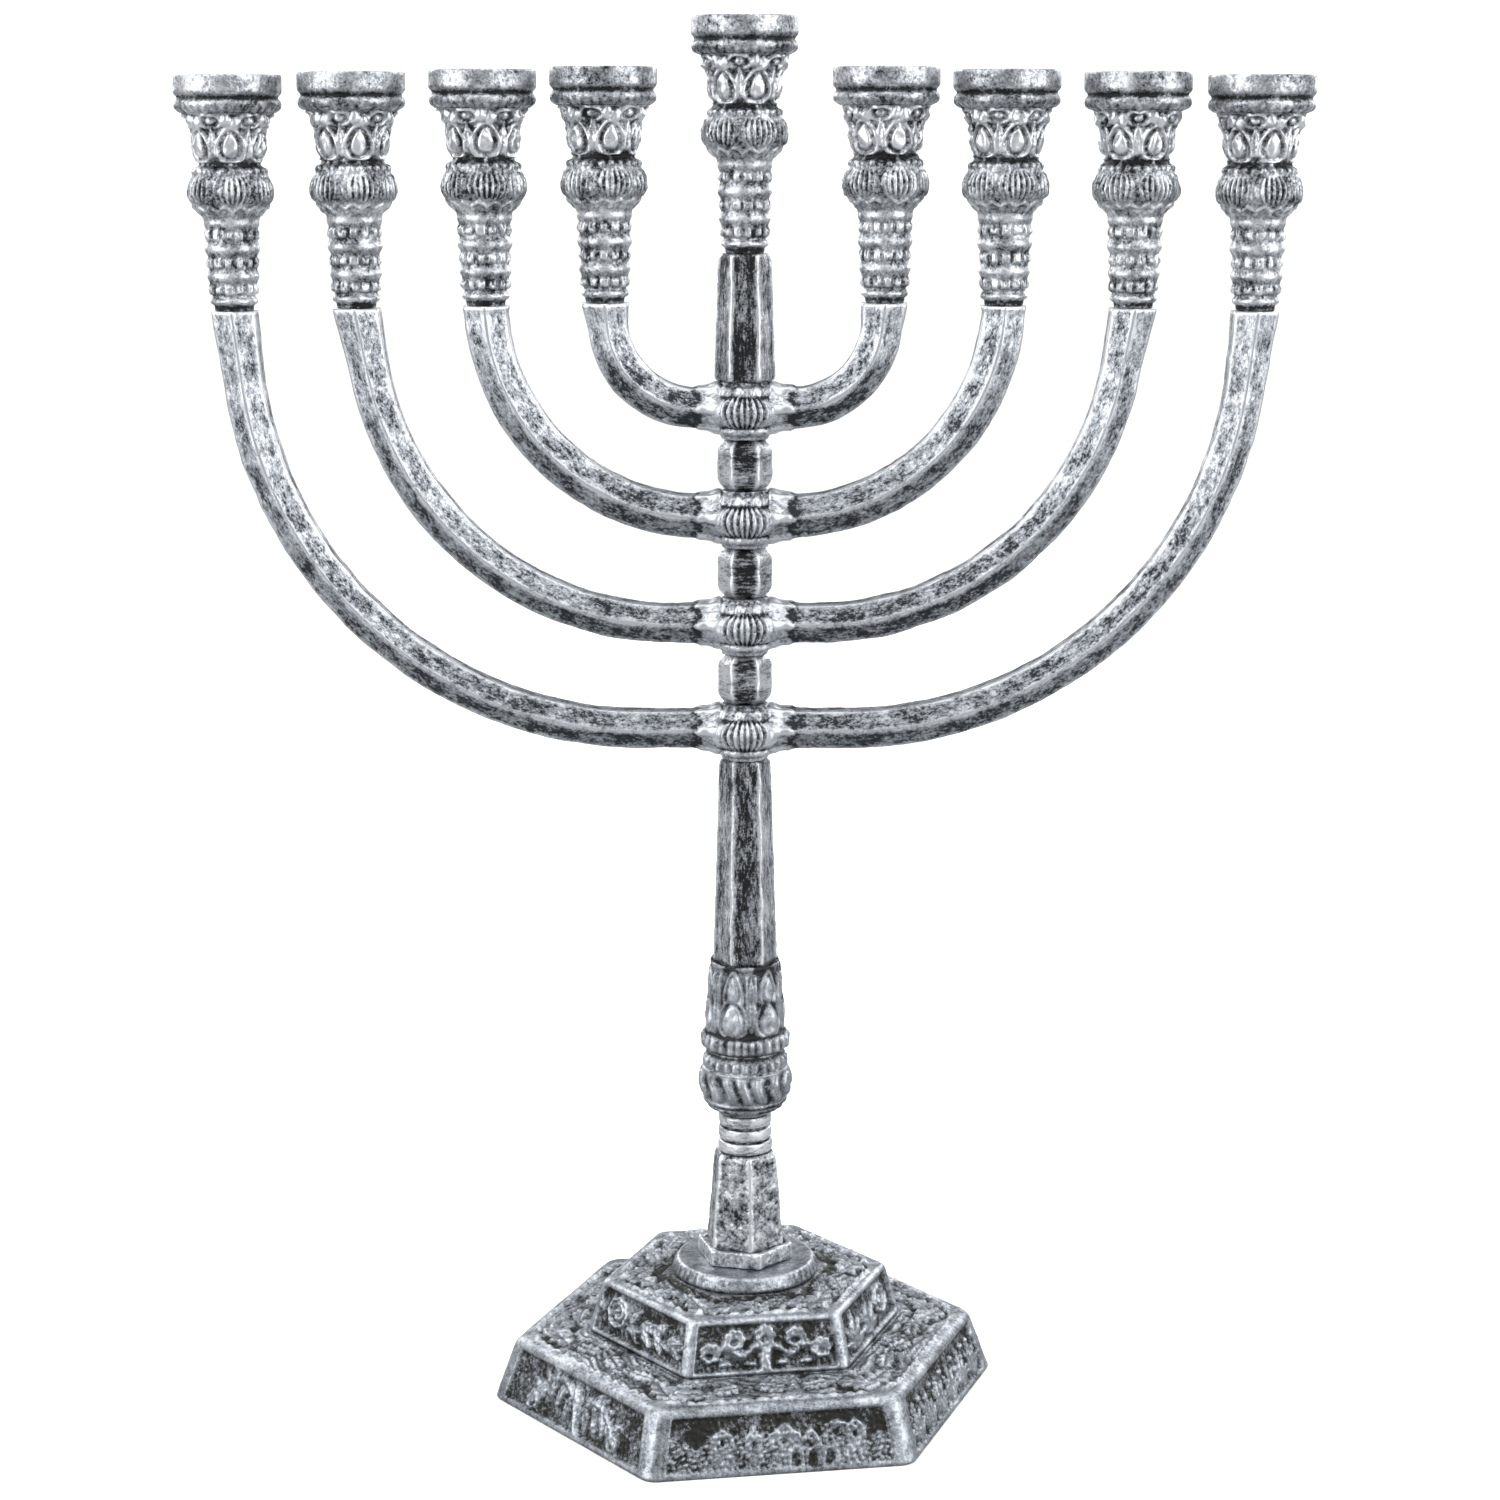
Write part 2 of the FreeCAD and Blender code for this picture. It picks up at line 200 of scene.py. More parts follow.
def pathNormals(path):
    # outward, for a path that climbs on the outside
    step = np.gradient(path, axis=0)
    length = np.maximum(np.hypot(step[:, 0], step[:, 1]), 1e-9)
    return np.stack([step[:, 1] / length, -step[:, 0] / length], axis=1)


def gridFaces(rows, columns, loopRows):
    # quads between neighbouring rows; columns always close, rows only if asked
    i, j = np.meshgrid(np.arange(rows if loopRows else rows - 1), np.arange(columns), indexing="ij")
    nextRow = (i + 1) % rows
    nextColumn = (j + 1) % columns
    corners = [i * columns + j, i * columns + nextColumn,
               nextRow * columns + nextColumn, nextRow * columns + j]
    return np.stack([corner.ravel() for corner in corners], axis=1)


def fan(centre, ring, flip):
    # triangles from a ring of points to one point in its middle
    around = np.roll(ring, -1)
    pair = [ring, around] if flip else [around, ring]
    return np.stack([np.full_like(ring, centre)] + pair, axis=1)


def gridPart(x, y, z, wearAndShade, loopRows, grain=None):
    # one closed skin: a grid whose open ends, if any, are closed by a fan; grain is where the
    # patina's noise is read for each point, the point itself unless told otherwise
    rows, columns = x.shape
    points = np.stack([x.ravel(), y.ravel(), z.ravel()], axis=1)
    flow = points if grain is None else np.stack([g.ravel() for g in grain], axis=1)
    values = [points, flow, wearAndShade.ravel()]
    triangles = np.zeros((0, 3), int)
    if not loopRows:
        count = len(points)
        ends = [slice(0, columns), slice(count - columns, count)]
        values = [np.concatenate([v] + [v[end].mean(axis=0)[None] for end in ends]) for v in values]
        ring = np.arange(columns)
        triangles = np.concatenate([fan(count, ring, False), fan(count + 1, ring + count - columns, True)])
    return [gridFaces(rows, columns, loopRows), triangles] + values


def makePiece(name, parts, material, nodes, body="stem"):
    # puts the skins into one mesh, in metres, with how worn or sunk each point is, and on some pieces its
    # painted shade
    starts = np.cumsum([0] + [len(part[2]) for part in parts])
    quads, triangles = [np.concatenate([part[i] + start for part, start in zip(parts, starts)])
                        for i in (0, 1)]
    points, flow, wornAndShaded = [np.concatenate([part[i] for part in parts]) for i in (2, 3, 4)]
    mesh = bpy.data.meshes.new(name)
    mesh.vertices.add(len(points))
    mesh.vertices.foreach_set("co", (points * millimetre).ravel())
    mesh.loops.add(quads.size + triangles.size)
    mesh.loops.foreach_set("vertex_index", np.concatenate([quads.ravel(), triangles.ravel()]))
    sizes = np.repeat([4, 3], [len(quads), len(triangles)])
    mesh.polygons.add(len(sizes))
    mesh.polygons.foreach_set("loop_start", np.cumsum(sizes) - sizes)
    mesh.polygons.foreach_set("loop_total", sizes)
    mesh.polygons.foreach_set("use_smooth", np.ones(len(sizes), bool))
    mesh.update(calc_edges=True)
    mesh.validate()
    mesh.attributes.new("wearAndShade", "FLOAT", "POINT").data.foreach_set("value", wornAndShaded.astype(np.float32))
    grain = mesh.attributes.new("grain", "FLOAT_VECTOR", "POINT")
    grain.data.foreach_set("vector", (flow * millimetre).astype(np.float32).ravel())
    mesh.materials.append(material)
    piece = bpy.data.objects.new(name, mesh)
    bpy.context.collection.objects.link(piece)
    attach(piece, body)
    if nodes:
        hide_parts(*nodes)
    print(name, "has", 2 * len(quads) + len(triangles), "triangles")


def hexOutline(columns, rounding, turnDegrees):
    # hexagon whose flats are 1 from its middle, with rounded corners, walked evenly; returns the
    # points, their outward normals, the way along each flat, and the flat's number
    perSide = columns // hexSides
    flatHalf = (1 - rounding) * flatReach
    sideHalf = flatHalf + rounding * math.pi / hexSides
    along = np.tile((np.arange(perSide) + 0.5) / perSide * 2 - 1, hexSides) * sideHalf
    side = np.repeat(np.arange(hexSides), perSide)
    bend = np.clip(np.abs(along) - flatHalf, 0, None) / rounding * np.sign(along)
    out = (1 - rounding) + rounding * np.cos(bend)
    sideways = np.clip(along, -flatHalf, flatHalf) + rounding * np.sin(bend)
    face = math.radians(turnDegrees + 30) + side * fullTurn / hexSides
    points = np.stack([out * np.cos(face) - sideways * np.sin(face),
                       out * np.sin(face) + sideways * np.cos(face)], axis=1)
    return points, np.stack([np.cos(face + bend), np.sin(face + bend)], axis=1), sideways, side


def turnedSkin(path, columns, relief, turn=0.0, centre=(0, 0, 0), loopRows=True):
    # profile carried round the upright axis and pushed out by relief(angle, radius, height)
    angle = np.arange(columns) / columns * fullTurn + math.radians(turn)
    normals = pathNormals(path)
    radius = path[:, :1] + 0 * angle
    height = path[:, 1:] + 0 * angle
    push, wearAndShade = relief(angle[None, :] + 0 * radius - math.radians(turn), radius, height)
    radius = radius + push * normals[:, :1]
    height = height + push * normals[:, 1:]
    x = centre[0] + radius * np.cos(angle)
    y = centre[1] + radius * np.sin(angle)
    return gridPart(x, y, centre[2] + height, wearAndShade, loopRows)


def hexSkin(path, columns, rounding, turn, relief):
    # profile of (flat distance, height) carried round a rounded hexagon
    points, sideNormals, sideways, side = hexOutline(columns, rounding, turn)
    normals = pathNormals(path)
    flat = path[:, :1] + 0 * sideways
    height = path[:, 1:] + 0 * sideways
    along = path[:, :1] * sideways
    push, wearAndShade = relief(along, flat, height, side[None, :] + 0 * along)
    x = flat * points[:, 0] + push * normals[:, :1] * sideNormals[:, 0]
    y = flat * points[:, 1] + push * normals[:, :1] * sideNormals[:, 1]
    return gridPart(x, y, height + push * normals[:, 1:], wearAndShade, True)


def linear(hexColour):
    # sRGB hex to linear light
    parts = [int(hexColour[i:i + 2], 16) / 255 for i in (1, 3, 5)]
    return tuple(p / 12.92 if p <= 0.04045 else ((p + 0.055) / 1.055) ** 2.4 for p in parts) + (1.0,)


def addNode(tree, kind, settings=None, **links):
    # adds a node; settings are its properties and unlinked inputs, links are inputs fed by outputs
    node = tree.nodes.new(kind)
    for key, value in (settings or {}).items():
        if isinstance(key, int) or key in node.inputs:
            node.inputs[key].default_value = value
        else:
            setattr(node, key, value)
    for key, output in links.items():
        socket = node.inputs[int(key[2:])] if key.startswith("in") and key[2:].isdigit() else node.inputs[key]
        tree.links.new(output, socket)
    return node


def noiseScale(sizeMm):
    # a noise texture's scale for blotches of a real size, on coordinates in metres
    return 1 / (sizeMm * millimetre)


def emptyMaterial(name):
    material = bpy.data.materials.new(name)
    material.use_nodes = True
    material.node_tree.nodes.clear()
    return material, material.node_tree


def closeMetal(tree, settings, relief, strength, deepMm, **links):
    # fine relief as a bump, then one metal shader on the surface
    bump = addNode(tree, "ShaderNodeBump", {"Strength": strength, "Distance": deepMm * millimetre},
                   Height=relief).outputs[0]
    shader = addNode(tree, "ShaderNodeBsdfPrincipled", settings, Normal=bump, **links)
    addNode(tree, "ShaderNodeOutputMaterial", {}, Surface=shader.outputs[0])


def antiqueSilver(name, look):
    # silver plate on cast zinc, blackened and then rubbed: bright where hands and cloth reach, blue-grey on
    # the flats, near black in the pits and recesses; the per-point value that drives this also carries
    # painted shade on some flats and faces
    material, tree = emptyMaterial(name)
    coordinates = addNode(tree, "ShaderNodeAttribute", {"attribute_name": "grain"}).outputs["Vector"]
    total = addNode(tree, "ShaderNodeAttribute", {"attribute_name": "wearAndShade"}).outputs["Fac"]
    stretch = addNode(tree, "ShaderNodeMapping", {"Scale": look["stretch"]}, Vector=coordinates).outputs[0]
    # silver shows where wear and painted shade, plus blotches, specks and pits, pass a threshold
    middle = look["threshold"]
    for size, weight, detail, roughness, place in (
            (look["blotchMm"], look["blotchWeight"], 3.0, 0.6, stretch),
            (look["speckMm"], look["speckWeight"], 4.0, 0.72, stretch),
            (look["speckMm"] * 0.45, look["pitWeight"], 2.0, 0.6, coordinates)):
        noise = addNode(tree, "ShaderNodeTexNoise",
                        {"Scale": noiseScale(size), "Detail": detail, "Roughness": roughness},
                        Vector=place).outputs[0]
        total = addNode(tree, "ShaderNodeMath", {"operation": "MULTIPLY_ADD", 1: weight},
                        in0=noise, in2=total).outputs[0]
        middle += weight / 2
    cover = addNode(tree, "ShaderNodeMapRange", {1: middle - look["soft"], 2: middle + look["soft"]},
                    in0=total).outputs[0]
    ramp = addNode(tree, "ShaderNodeValToRGB", Fac=cover)
    ramp.color_ramp.elements[0].color = linear(look["dark"])
    ramp.color_ramp.elements[1].color = linear(look["light"])
    ramp.color_ramp.elements.new(0.45).color = linear(look["middle"])
    rough = addNode(tree, "ShaderNodeMapRange", {3: look["darkRough"], 4: look["lightRough"]},
                    in0=cover).outputs[0]
    metal = addNode(tree, "ShaderNodeMapRange", {2: 0.6, 3: look["darkMetal"]}, in0=cover).outputs[0]
    relief = addNode(tree, "ShaderNodeMath", {"operation": "MULTIPLY_ADD", 1: 0.6},
                     in0=noise, in2=cover).outputs[0]
    closeMetal(tree, {}, relief, look["bump"], look["bumpMm"],
               **{"Base Color": ramp.outputs[0], "Roughness": rough, "Metallic": metal})
    return material


silverLook = {
    "dark": "#17191b", "middle": "#8c9095", "light": "#dadcdf", "stretch": (1, 1, 1),
    "blotchMm": 6.0, "speckMm": 1.2, "blotchWeight": 1.4, "speckWeight": 1.6, "pitWeight": 0.8,
    "threshold": 0.42, "soft": 0.36, "darkRough": 0.5, "lightRough": 0.36, "darkMetal": 0.7,
    "bump": 0.5, "bumpMm": 0.12,
}
cupSilver = antiqueSilver("antiqueSilverBright", silverLook)  # handled most: white silver, black pits
armSilver = antiqueSilver("antiqueSilverRubbed", {  # fine dark specks left by the polishing mop
    **silverLook, "dark": "#212429", "blotchMm": 4.0, "light": "#cdd0d4", "speckWeight": 1.9, "speckMm": 0.9})
stemSilver = antiqueSilver("antiqueSilverBrushed", {  # rubbed round the stem: level streaks
    **silverLook, "stretch": (0.45, 0.45, 2.0), "speckWeight": 2.0})
shaftSilver = antiqueSilver("antiqueSilverScratched", {  # rubbed up and down: upright streaks
    **silverLook, "stretch": (1.7, 1.7, 0.45), "speckWeight": 2.0})
footSilver = antiqueSilver("antiqueSilverMottled", {  # rough cast flats: coarse mottling
    **silverLook, "speckMm": 1.4, "speckWeight": 1.9})
leafSilver = antiqueSilver("antiqueSilverSmooth", {  # worn leaves: soft, few specks
    **silverLook, "dark": "#202224", "light": "#c6cacf", "lightRough": 0.38, "speckWeight": 0.9,
    "blotchWeight": 1.2, "pitWeight": 0.5})
baseSilver = antiqueSilver("antiqueSilverDull", {  # seldom touched: greyer, warm dirt in the hollows
    **silverLook, "dark": "#22231f", "middle": "#82878d", "light": "#c3c7cc", "lightRough": 0.4,
    "speckWeight": 1.4, "speckMm": 1.0, "blotchWeight": 1.1, "pitWeight": 0.5})


def zincPlatedSteel():
    # turned steel with a bright zinc coat: fine rings from the cutter, slight blue-yellow tint
    material, tree = emptyMaterial("zincPlatedSteel")
    coordinates = addNode(tree, "ShaderNodeTexCoord").outputs["Object"]
    squeezed = addNode(tree, "ShaderNodeMapping", {"Scale": (0.1, 0.1, 1.0)}, Vector=coordinates).outputs[0]
    grooves = addNode(tree, "ShaderNodeTexNoise", {"Scale": noiseScale(0.8), "Detail": 3.0},
                      Vector=squeezed).outputs[0]
    ramp = addNode(tree, "ShaderNodeValToRGB", Fac=grooves)
    ramp.color_ramp.elements[0].color = linear("#9b9c98")
    ramp.color_ramp.elements[1].color = linear("#c4c6c6")
    rough = addNode(tree, "ShaderNodeMapRange", {1: 0.3, 2: 0.7, 3: 0.28, 4: 0.45}, in0=grooves).outputs[0]
    closeMetal(tree, {"Metallic": 1.0}, grooves, 0.3, 0.05,
               **{"Base Color": ramp.outputs[0], "Roughness": rough})
    return material


platedSteel = zincPlatedSteel()
for steelNode in ("tie_rod", "rod_nut", "rod_washer", "cup_studs"):
    steelMesh = frame["nodes"][steelNode].data
    steelMesh.materials.clear()
    steelMesh.materials.append(platedSteel)
print("materials made")

cupPlan = {
    "columns": 204, "spacing": 0.31, "innerSpacing": 1.5, "repeats": 6,
    "boreRadius": 11.2, "boreDepth": 9.0, "holeRadius": 2.05, "holeDepth": 6.0, "middleHoleDepth": 12.0,
    "berryHeight": 46.4, "petalHeight": 41.0, "dentilHeight": 34.7, "ballHeight": 29.9,
    "markHeights": (5.3, 11.9, 18.8), "ringHeights": (8.6, 15.4, 21.9),
    "marks": 13, "teeth": 24, "pleats": 36,
    "turns": {"shamash": 22, "left_1": 15, "left_2": 9, "left_3": 18, "left_4": 12,
              "right_1": 19, "right_2": 13, "right_3": 24, "right_4": 12},
}


def cupPath(holeDepth, height):
    # (radius, height, rounding) from the screw hole, up the outside, over the rim into the bore
    hole = cupPlan["holeRadius"]
    under = roundedPath([(0.02, holeDepth, 0), (hole, holeDepth, 0.1), (hole, 0, 0.1), (4.7, 0, 0.1)], 0.9)
    bore = cupPlan["boreRadius"]
    outside = roundedPath([
        (4.7, 0, 0), (4.9, 0.5, 0.3), (4.95, 1.4, 0.3), (5.95, 2.0, 0.5), (5.95, 2.9, 0.5), (5.3, 3.7, 0.4),
        (5.85, 4.6, 0.5), (6.0, 7.3, 0.6), (6.5, 8.2, 0.7), (6.45, 9.2, 0.7), (6.05, 10.2, 0.6),
        (6.2, 13.8, 0.6),
        (6.85, 14.8, 0.7), (6.85, 16.0, 0.7), (6.4, 17.2, 0.5), (6.5, 20.4, 0.6), (6.95, 21.4, 0.6),
        (6.85, 22.7, 0.6), (7.3, 23.6, 0.6), (8.6, 25.4, 1.5), (10.6, 27.6, 2.5), (10.7, 30.6, 3.0),
        (9.6, 33.0, 1.5), (9.3, 33.6, 0.3), (9.3, 35.0, 0.5), (7.6, 35.9, 0.8), (7.5, 37.3, 1.0),
        (8.7, 39.2, 2.0), (8.9, 43.4, 2.0), (9.4, 45.0, 1.0), (10.2, 47.6, 1.0), (11.0, 48.6, 0.7),
        (12.9, 49.6, 0.7), (13.35, 50.7, 0.6), (13.1, 51.6, 0.4), (12.5, 52.1, 0.3), (12.5, 52.7, 0.3),
        (13.15, 53.3, 0.3), (13.4, 53.9, 0.4), (13.42, height, 0.35), (bore, height, 0.3)],
        cupPlan["spacing"])
    floor = height - cupPlan["boreDepth"]
    inside = roundedPath([(bore, height, 0), (bore, floor, 0.8), (0.02, floor, 0)], cupPlan["innerSpacing"])
    return np.concatenate([under[:-1], outside, inside[1:]])


def blockMarks(angle, up, halfHeight, seed):
    # one row of plain upright blocks, each with its own width and height
    count = cupPlan["marks"]
    cell = angle / fullTurn * count
    number = np.floor(cell).astype(int) % count
    random = np.random.default_rng(seed)
    width = random.uniform(0.22, 0.4, count)[number]
    tall = random.uniform(0.55, 1.0, count)[number] * halfHeight
    notch = random.choice([0.0, 0.0, 1.0], count)[number]
    across = cell - np.floor(cell) - 0.5
    block = band(across, -width, width, 0.05) * band(up, -tall, tall, 0.22)
    return block * (1 - 0.9 * notch * ridge(across, 0.08) * rise(up, 0, 0.3))


def cupRelief(seed):
    # petals, berries, eyes, teeth, a ribbed ball, a zigzag and rows of blocks, each a shape of the
    # angle and height in its own zone; wear follows how far the relief stands out
    plan = cupPlan

    def relief(angle, radius, height):
        bored = (height > 48.8) & (radius < 11.6)
        outer = ((height > 0.5) & (radius > 4.8) & ~bored) * 1.0
        near = wrapped(angle, plan["repeats"]) * radius
        far = wrapped(angle + math.pi / plan["repeats"], plan["repeats"]) * radius
        # tulip petals with a smooth bud inside, slim leaves between, pairs of berries on their tips,
        # arches with an eye in each
        up = height - plan["petalHeight"]
        zone = band(height, 36.4, 45.5, 0.3)
        bud = rise(1 - eggRadius(near, up + 0.2, 1.9, 3.1, 0.34), 0, 0.1)
        arch = eggRadius(far, height - 46.6, 2.8, 1.9, 0.0)
        berries = [1.25 * dome(near - side * 1.2, height - plan["berryHeight"] + 0.3 * side, 1.5, 1.6)
                   for side in (-1, 1)]
        push = highest(
            zone * 0.85 * ridge((eggRadius(near, up, 3.5, 4.2, 0.34) - 1) * 3.0, 0.5),
            zone * 0.95 * bud * (0.75 + 0.25 * dome(near, up, 1.9, 3.1)),
            0.6 * ridge(near, 0.5) * band(height, 35.6, 37.4, 0.3),
            0.8 * leafBlade(far, height - 37.2, 8.2, 1.9), *berries,
            0.8 * ridge((arch - 1) * 2.0, 0.42) * rise(height, 45.0, 0.4),
            0.75 * dome(far, height - 46.7, 1.3, 0.9)) - 0.3 * band(height, 37.0, 48.3, 0.3)
        # pleats under the flange, teeth above the ball
        push += 0.16 * np.cos(angle * plan["pleats"]) * band(height, 48.6, 50.2, 0.3) * outer
        teeth = rise(np.cos(angle * plan["teeth"]), 0.0, 0.35)
        push += (0.4 * teeth - 0.15) * ridge(height - plan["dentilHeight"], 0.75) * outer
        # ball: lenses of nested ribs
        up = height - plan["ballHeight"]
        lens = np.abs(near) / (5.5 * np.sqrt(np.clip(1 - (up / 4.4) ** 2, 0.04, 1)))
        ribs = 0.5 + 0.5 * np.cos(lens * fullTurn * 3.6)
        fade = (1 - rise(lens, 0.98, 0.05)) * (1 - 0.6 * rise(lens, 0.6, 0.12))
        push += band(up, -3.3, 3.1, 0.25) * (0.75 * ribs - 0.42) * fade
        # zigzag ring below the ball
        zigzag = wrapped(angle, 14) * radius
        push += 0.5 * ridge(height - 24.9 - 0.55 * np.abs(zigzag), 0.42) * band(height, 23.4, 26.6, 0.3)
        push += 0.35 * dome(zigzag, height - 24.1, 0.6, 0.6)
        # bands of blocks between the rings of the stem
        for number, level in enumerate(plan["markHeights"]):
            marks = blockMarks(angle, height - level, 1.35, seed + number)
            push += (0.6 * marks - 0.22) * ridge((height - level) / 2.0, 1.0) * outer
        # uneven hand finish
        uneven = turnedRipple(angle, radius, height, 2.6, seed)
        push = push * outer * (1 + 0.25 * uneven)
        wearAndShade = 0.40 + 0.8 * push + 0.08 * band(height, 53.0, 60.0, 0.2) * (radius > 13)
        for level in plan["ringHeights"]:
            wearAndShade += 0.3 * ridge(height - level, 0.9)
        wearAndShade += 0.3 * ridge(height - 2.4, 0.6) - 0.5 * ridge(height - 1.0, 0.6)
        wearAndShade -= 0.55 * ridge(height - 52.4, 0.5) + 0.5 * ridge(height - 36.3, 1.0)
        lumps = outer * 0.05 * uneven * (radius < 12.9)
        push = np.where((height > 52.8) & (outer > 0), np.minimum(push, 0), push + lumps)
        return push, np.where(outer > 0, wearAndShade, 0.1)
    return relief


def makeCups():
    for number, (word, turn) in enumerate(cupPlan["turns"].items()):
        node = "cup_" + word
        low, high = span(node)
        centre = (low + high) / 2
        holeDepth = cupPlan["middleHoleDepth"] if word == "shamash" else cupPlan["holeDepth"]
        path = cupPath(holeDepth, high[2] - low[2])
        skin = turnedSkin(path, cupPlan["columns"], cupRelief(20 + number), turn - 90,
                          (centre[0], centre[1], low[2]), loopRows=False)
        makePiece(node + "_cast", [skin], cupSilver, [node])


makeCups()
print("cups made")

# branches: a ball knop with an arm each way
branchPlan = {
    "tips": {1: 6.8, 2: 1.9, 3: 16.9, 4: 17.8}, "leans": {1: 7.0, 2: 3.5, 3: 10.5, 4: 6.4},
    "armRise": 0.6, "armFlats": 9.6, "armEndFlats": 11.4, "rounding": 0.09,
    "sectionPoints": 66, "spacing": 0.9, "rootReach": 6.0,
    "knopColumns": 180, "knopSpacing": 0.25, "lensHeight": 7.2,
    "below": {4: "tall_shaft", 3: "barrel_3", 2: "barrel_2", 1: "barrel_1"},
    "above": {4: "barrel_3", 3: "barrel_2", 2: "barrel_1", 1: "upper_shaft"},
}


def armPart(number, side, startZ, topZ, reach):
    # rounded hexagon carried along: level run, round bend, straight leaning end that flares
    plan = branchPlan
    slope = math.radians(90 - plan["leans"][number])
    tip = plan["tips"][number]
    bend = (topZ - tip - startZ) / (1 - math.cos(slope))
    bendStartX = reach - tip / math.tan(slope) - bend * math.sin(slope)
    lengths = [bendStartX - plan["rootReach"], bend * slope, tip / math.sin(slope)]
    total = sum(lengths)
    walked = np.linspace(0, total, int(total / plan["spacing"]))
    onRun = np.clip(walked, None, lengths[0])
    onBend = np.clip(walked - lengths[0], 0, lengths[1]) / bend
    onTip = np.clip(walked - lengths[0] - lengths[1], 0, None)
    x = plan["rootReach"] + onRun + bend * np.sin(onBend) + onTip * math.cos(slope)
    z = startZ + bend * (1 - np.cos(onBend)) + onTip * math.sin(slope)
    # the section turns with the bend, and comes level at the cup
    heading = np.where(onTip > 0, slope + (math.pi / 2 - slope) * onTip / lengths[2], onBend)[:, None]
    flare = np.clip((onTip + 5) / (lengths[2] + 5), 0, 1) ** 1.5
    size = (plan["armFlats"] / 2 + (plan["armEndFlats"] - plan["armFlats"]) / 2 * flare)[:, None]
    # hexOutline has corners towards its first axis: that axis is turned to face front
    points, normals, _, _ = hexOutline(plan["sectionPoints"], plan["rounding"], 0)
    across = -points[:, 1]
    depth = points[:, 0]
    cornerShare = np.clip((np.hypot(points[:, 0], points[:, 1]) - 1) / (cornerReach * 0.97 - 1), 0, 1)
    turnAngle = np.arctan2(across, depth)
    # root: a collar of pointed leaves that lies on the arm
    fromRoot = walked[:, None] + plan["rootReach"]
    leafTip = 11.6 + 0.8 * np.cos(turnAngle * 6)[None, :] + 0.3 * np.cos(turnAngle * 17 + 1)[None, :]
    leafBody = 1 - rise(fromRoot, leafTip, 0.4)
    collar = leafBody * (0.5 + 0.9 * np.clip((10.5 - fromRoot) / 3, 0, 1) ** 2)
    veins = 0.16 * np.cos(turnAngle * 12)[None, :] * leafBody
    X = x[:, None] + 0 * across
    Z = z[:, None] + 0 * across
    waviness = ripple(X + 40 * number, 40.0 * side + 0 * X, Z, 9.0, 60 + number) * 0.11
    dents = ripple(X, depth * 5.0, Z, 3.2, 70 + number) * 0.05
    push = waviness + dents + collar + veins
    offset = size * across - push * normals[:, 1]
    outY = size * depth + push * normals[:, 0]
    X = X - offset * np.sin(heading)
    Z = Z + offset * np.cos(heading)
    climb = np.clip((Z - startZ) / (topZ - startZ), 0, 1)
    # the arm is made brighter the higher it climbs; its underside is painted darker as shade, most where the
    # arm runs level and fading towards the top
    wearAndShade = 0.25 + 0.5 * ridge(1 - cornerShare, 0.3) + 0.2 * climb
    wearAndShade = wearAndShade - 0.1 * rise(-across, 0.2, 0.1)[None, :] * (1 - climb)
    wearAndShade = wearAndShade + 0.3 * leafBody - 0.5 * ridge(fromRoot - leafTip - 0.7, 0.7)
    wearAndShade = wearAndShade + 0.5 * ridge(walked[:, None] - total, 0.8)
    # the last ring lies level under the cup
    Z = np.where(np.arange(len(x))[:, None] == len(x) - 1, topZ, np.minimum(Z, topZ))
    # mirrored to the left as it is; turned round on the right, so that faces point outwards
    order = slice(None, None, -1) if side > 0 else slice(None)
    grain = (0.62 * walked[:, None] + 37 * number + 300 * side + 0 * across, 0 * X + size * across, outY)
    return gridPart(side * X[:, order], outY[:, order], Z[:, order], wearAndShade[:, order], False,
                    grain=[g[:, order] for g in grain])


def knopRelief(seed):
    # lens of nested curved ribs, a ring of small leaves at the top and a plain ring at the foot
    def relief(angle, radius, height):
        outer = (radius > boreEdge) * 1.0
        near = wrapped(angle + math.pi / 2, 4) * radius
        up = height - branchPlan["lensHeight"]
        lens = np.abs(near) / (6.4 * np.sqrt(np.clip(1 - (up / 4.6) ** 2, 0.02, 1)))
        ribs = 0.5 - 0.5 * np.cos(lens * fullTurn * 3.5 + 0.4)
        zone = band(up, -4.3, 4.3, 0.25) * (1 - rise(lens, 1.0, 0.05))
        push = zone * (0.95 * ribs ** 0.8 - 0.6)
        push += 0.55 * leafBlade(wrapped(angle + 0.2, 10) * radius, height - 10.6, 3.4, 1.5)
        push += 0.25 * ridge(height - 2.3, 0.7) * outer
        uneven = turnedRipple(angle, radius, height, 2.4, seed)
        push = push * outer * (1 + 0.2 * uneven) + outer * 0.07 * uneven
        wearAndShade = 0.50 + 0.75 * push + 0.2 * (1 - zone) * band(height, 4.5, 10.0, 0.5)
        wearAndShade -= 0.55 * ridge(height - 3.3, 0.4) + 0.6 * ridge(height - 10.9, 0.45)
        wearAndShade -= 0.3 * ridge(height - 14.2, 0.5)
        return push, np.where(outer > 0, wearAndShade, 0.1)
    return relief


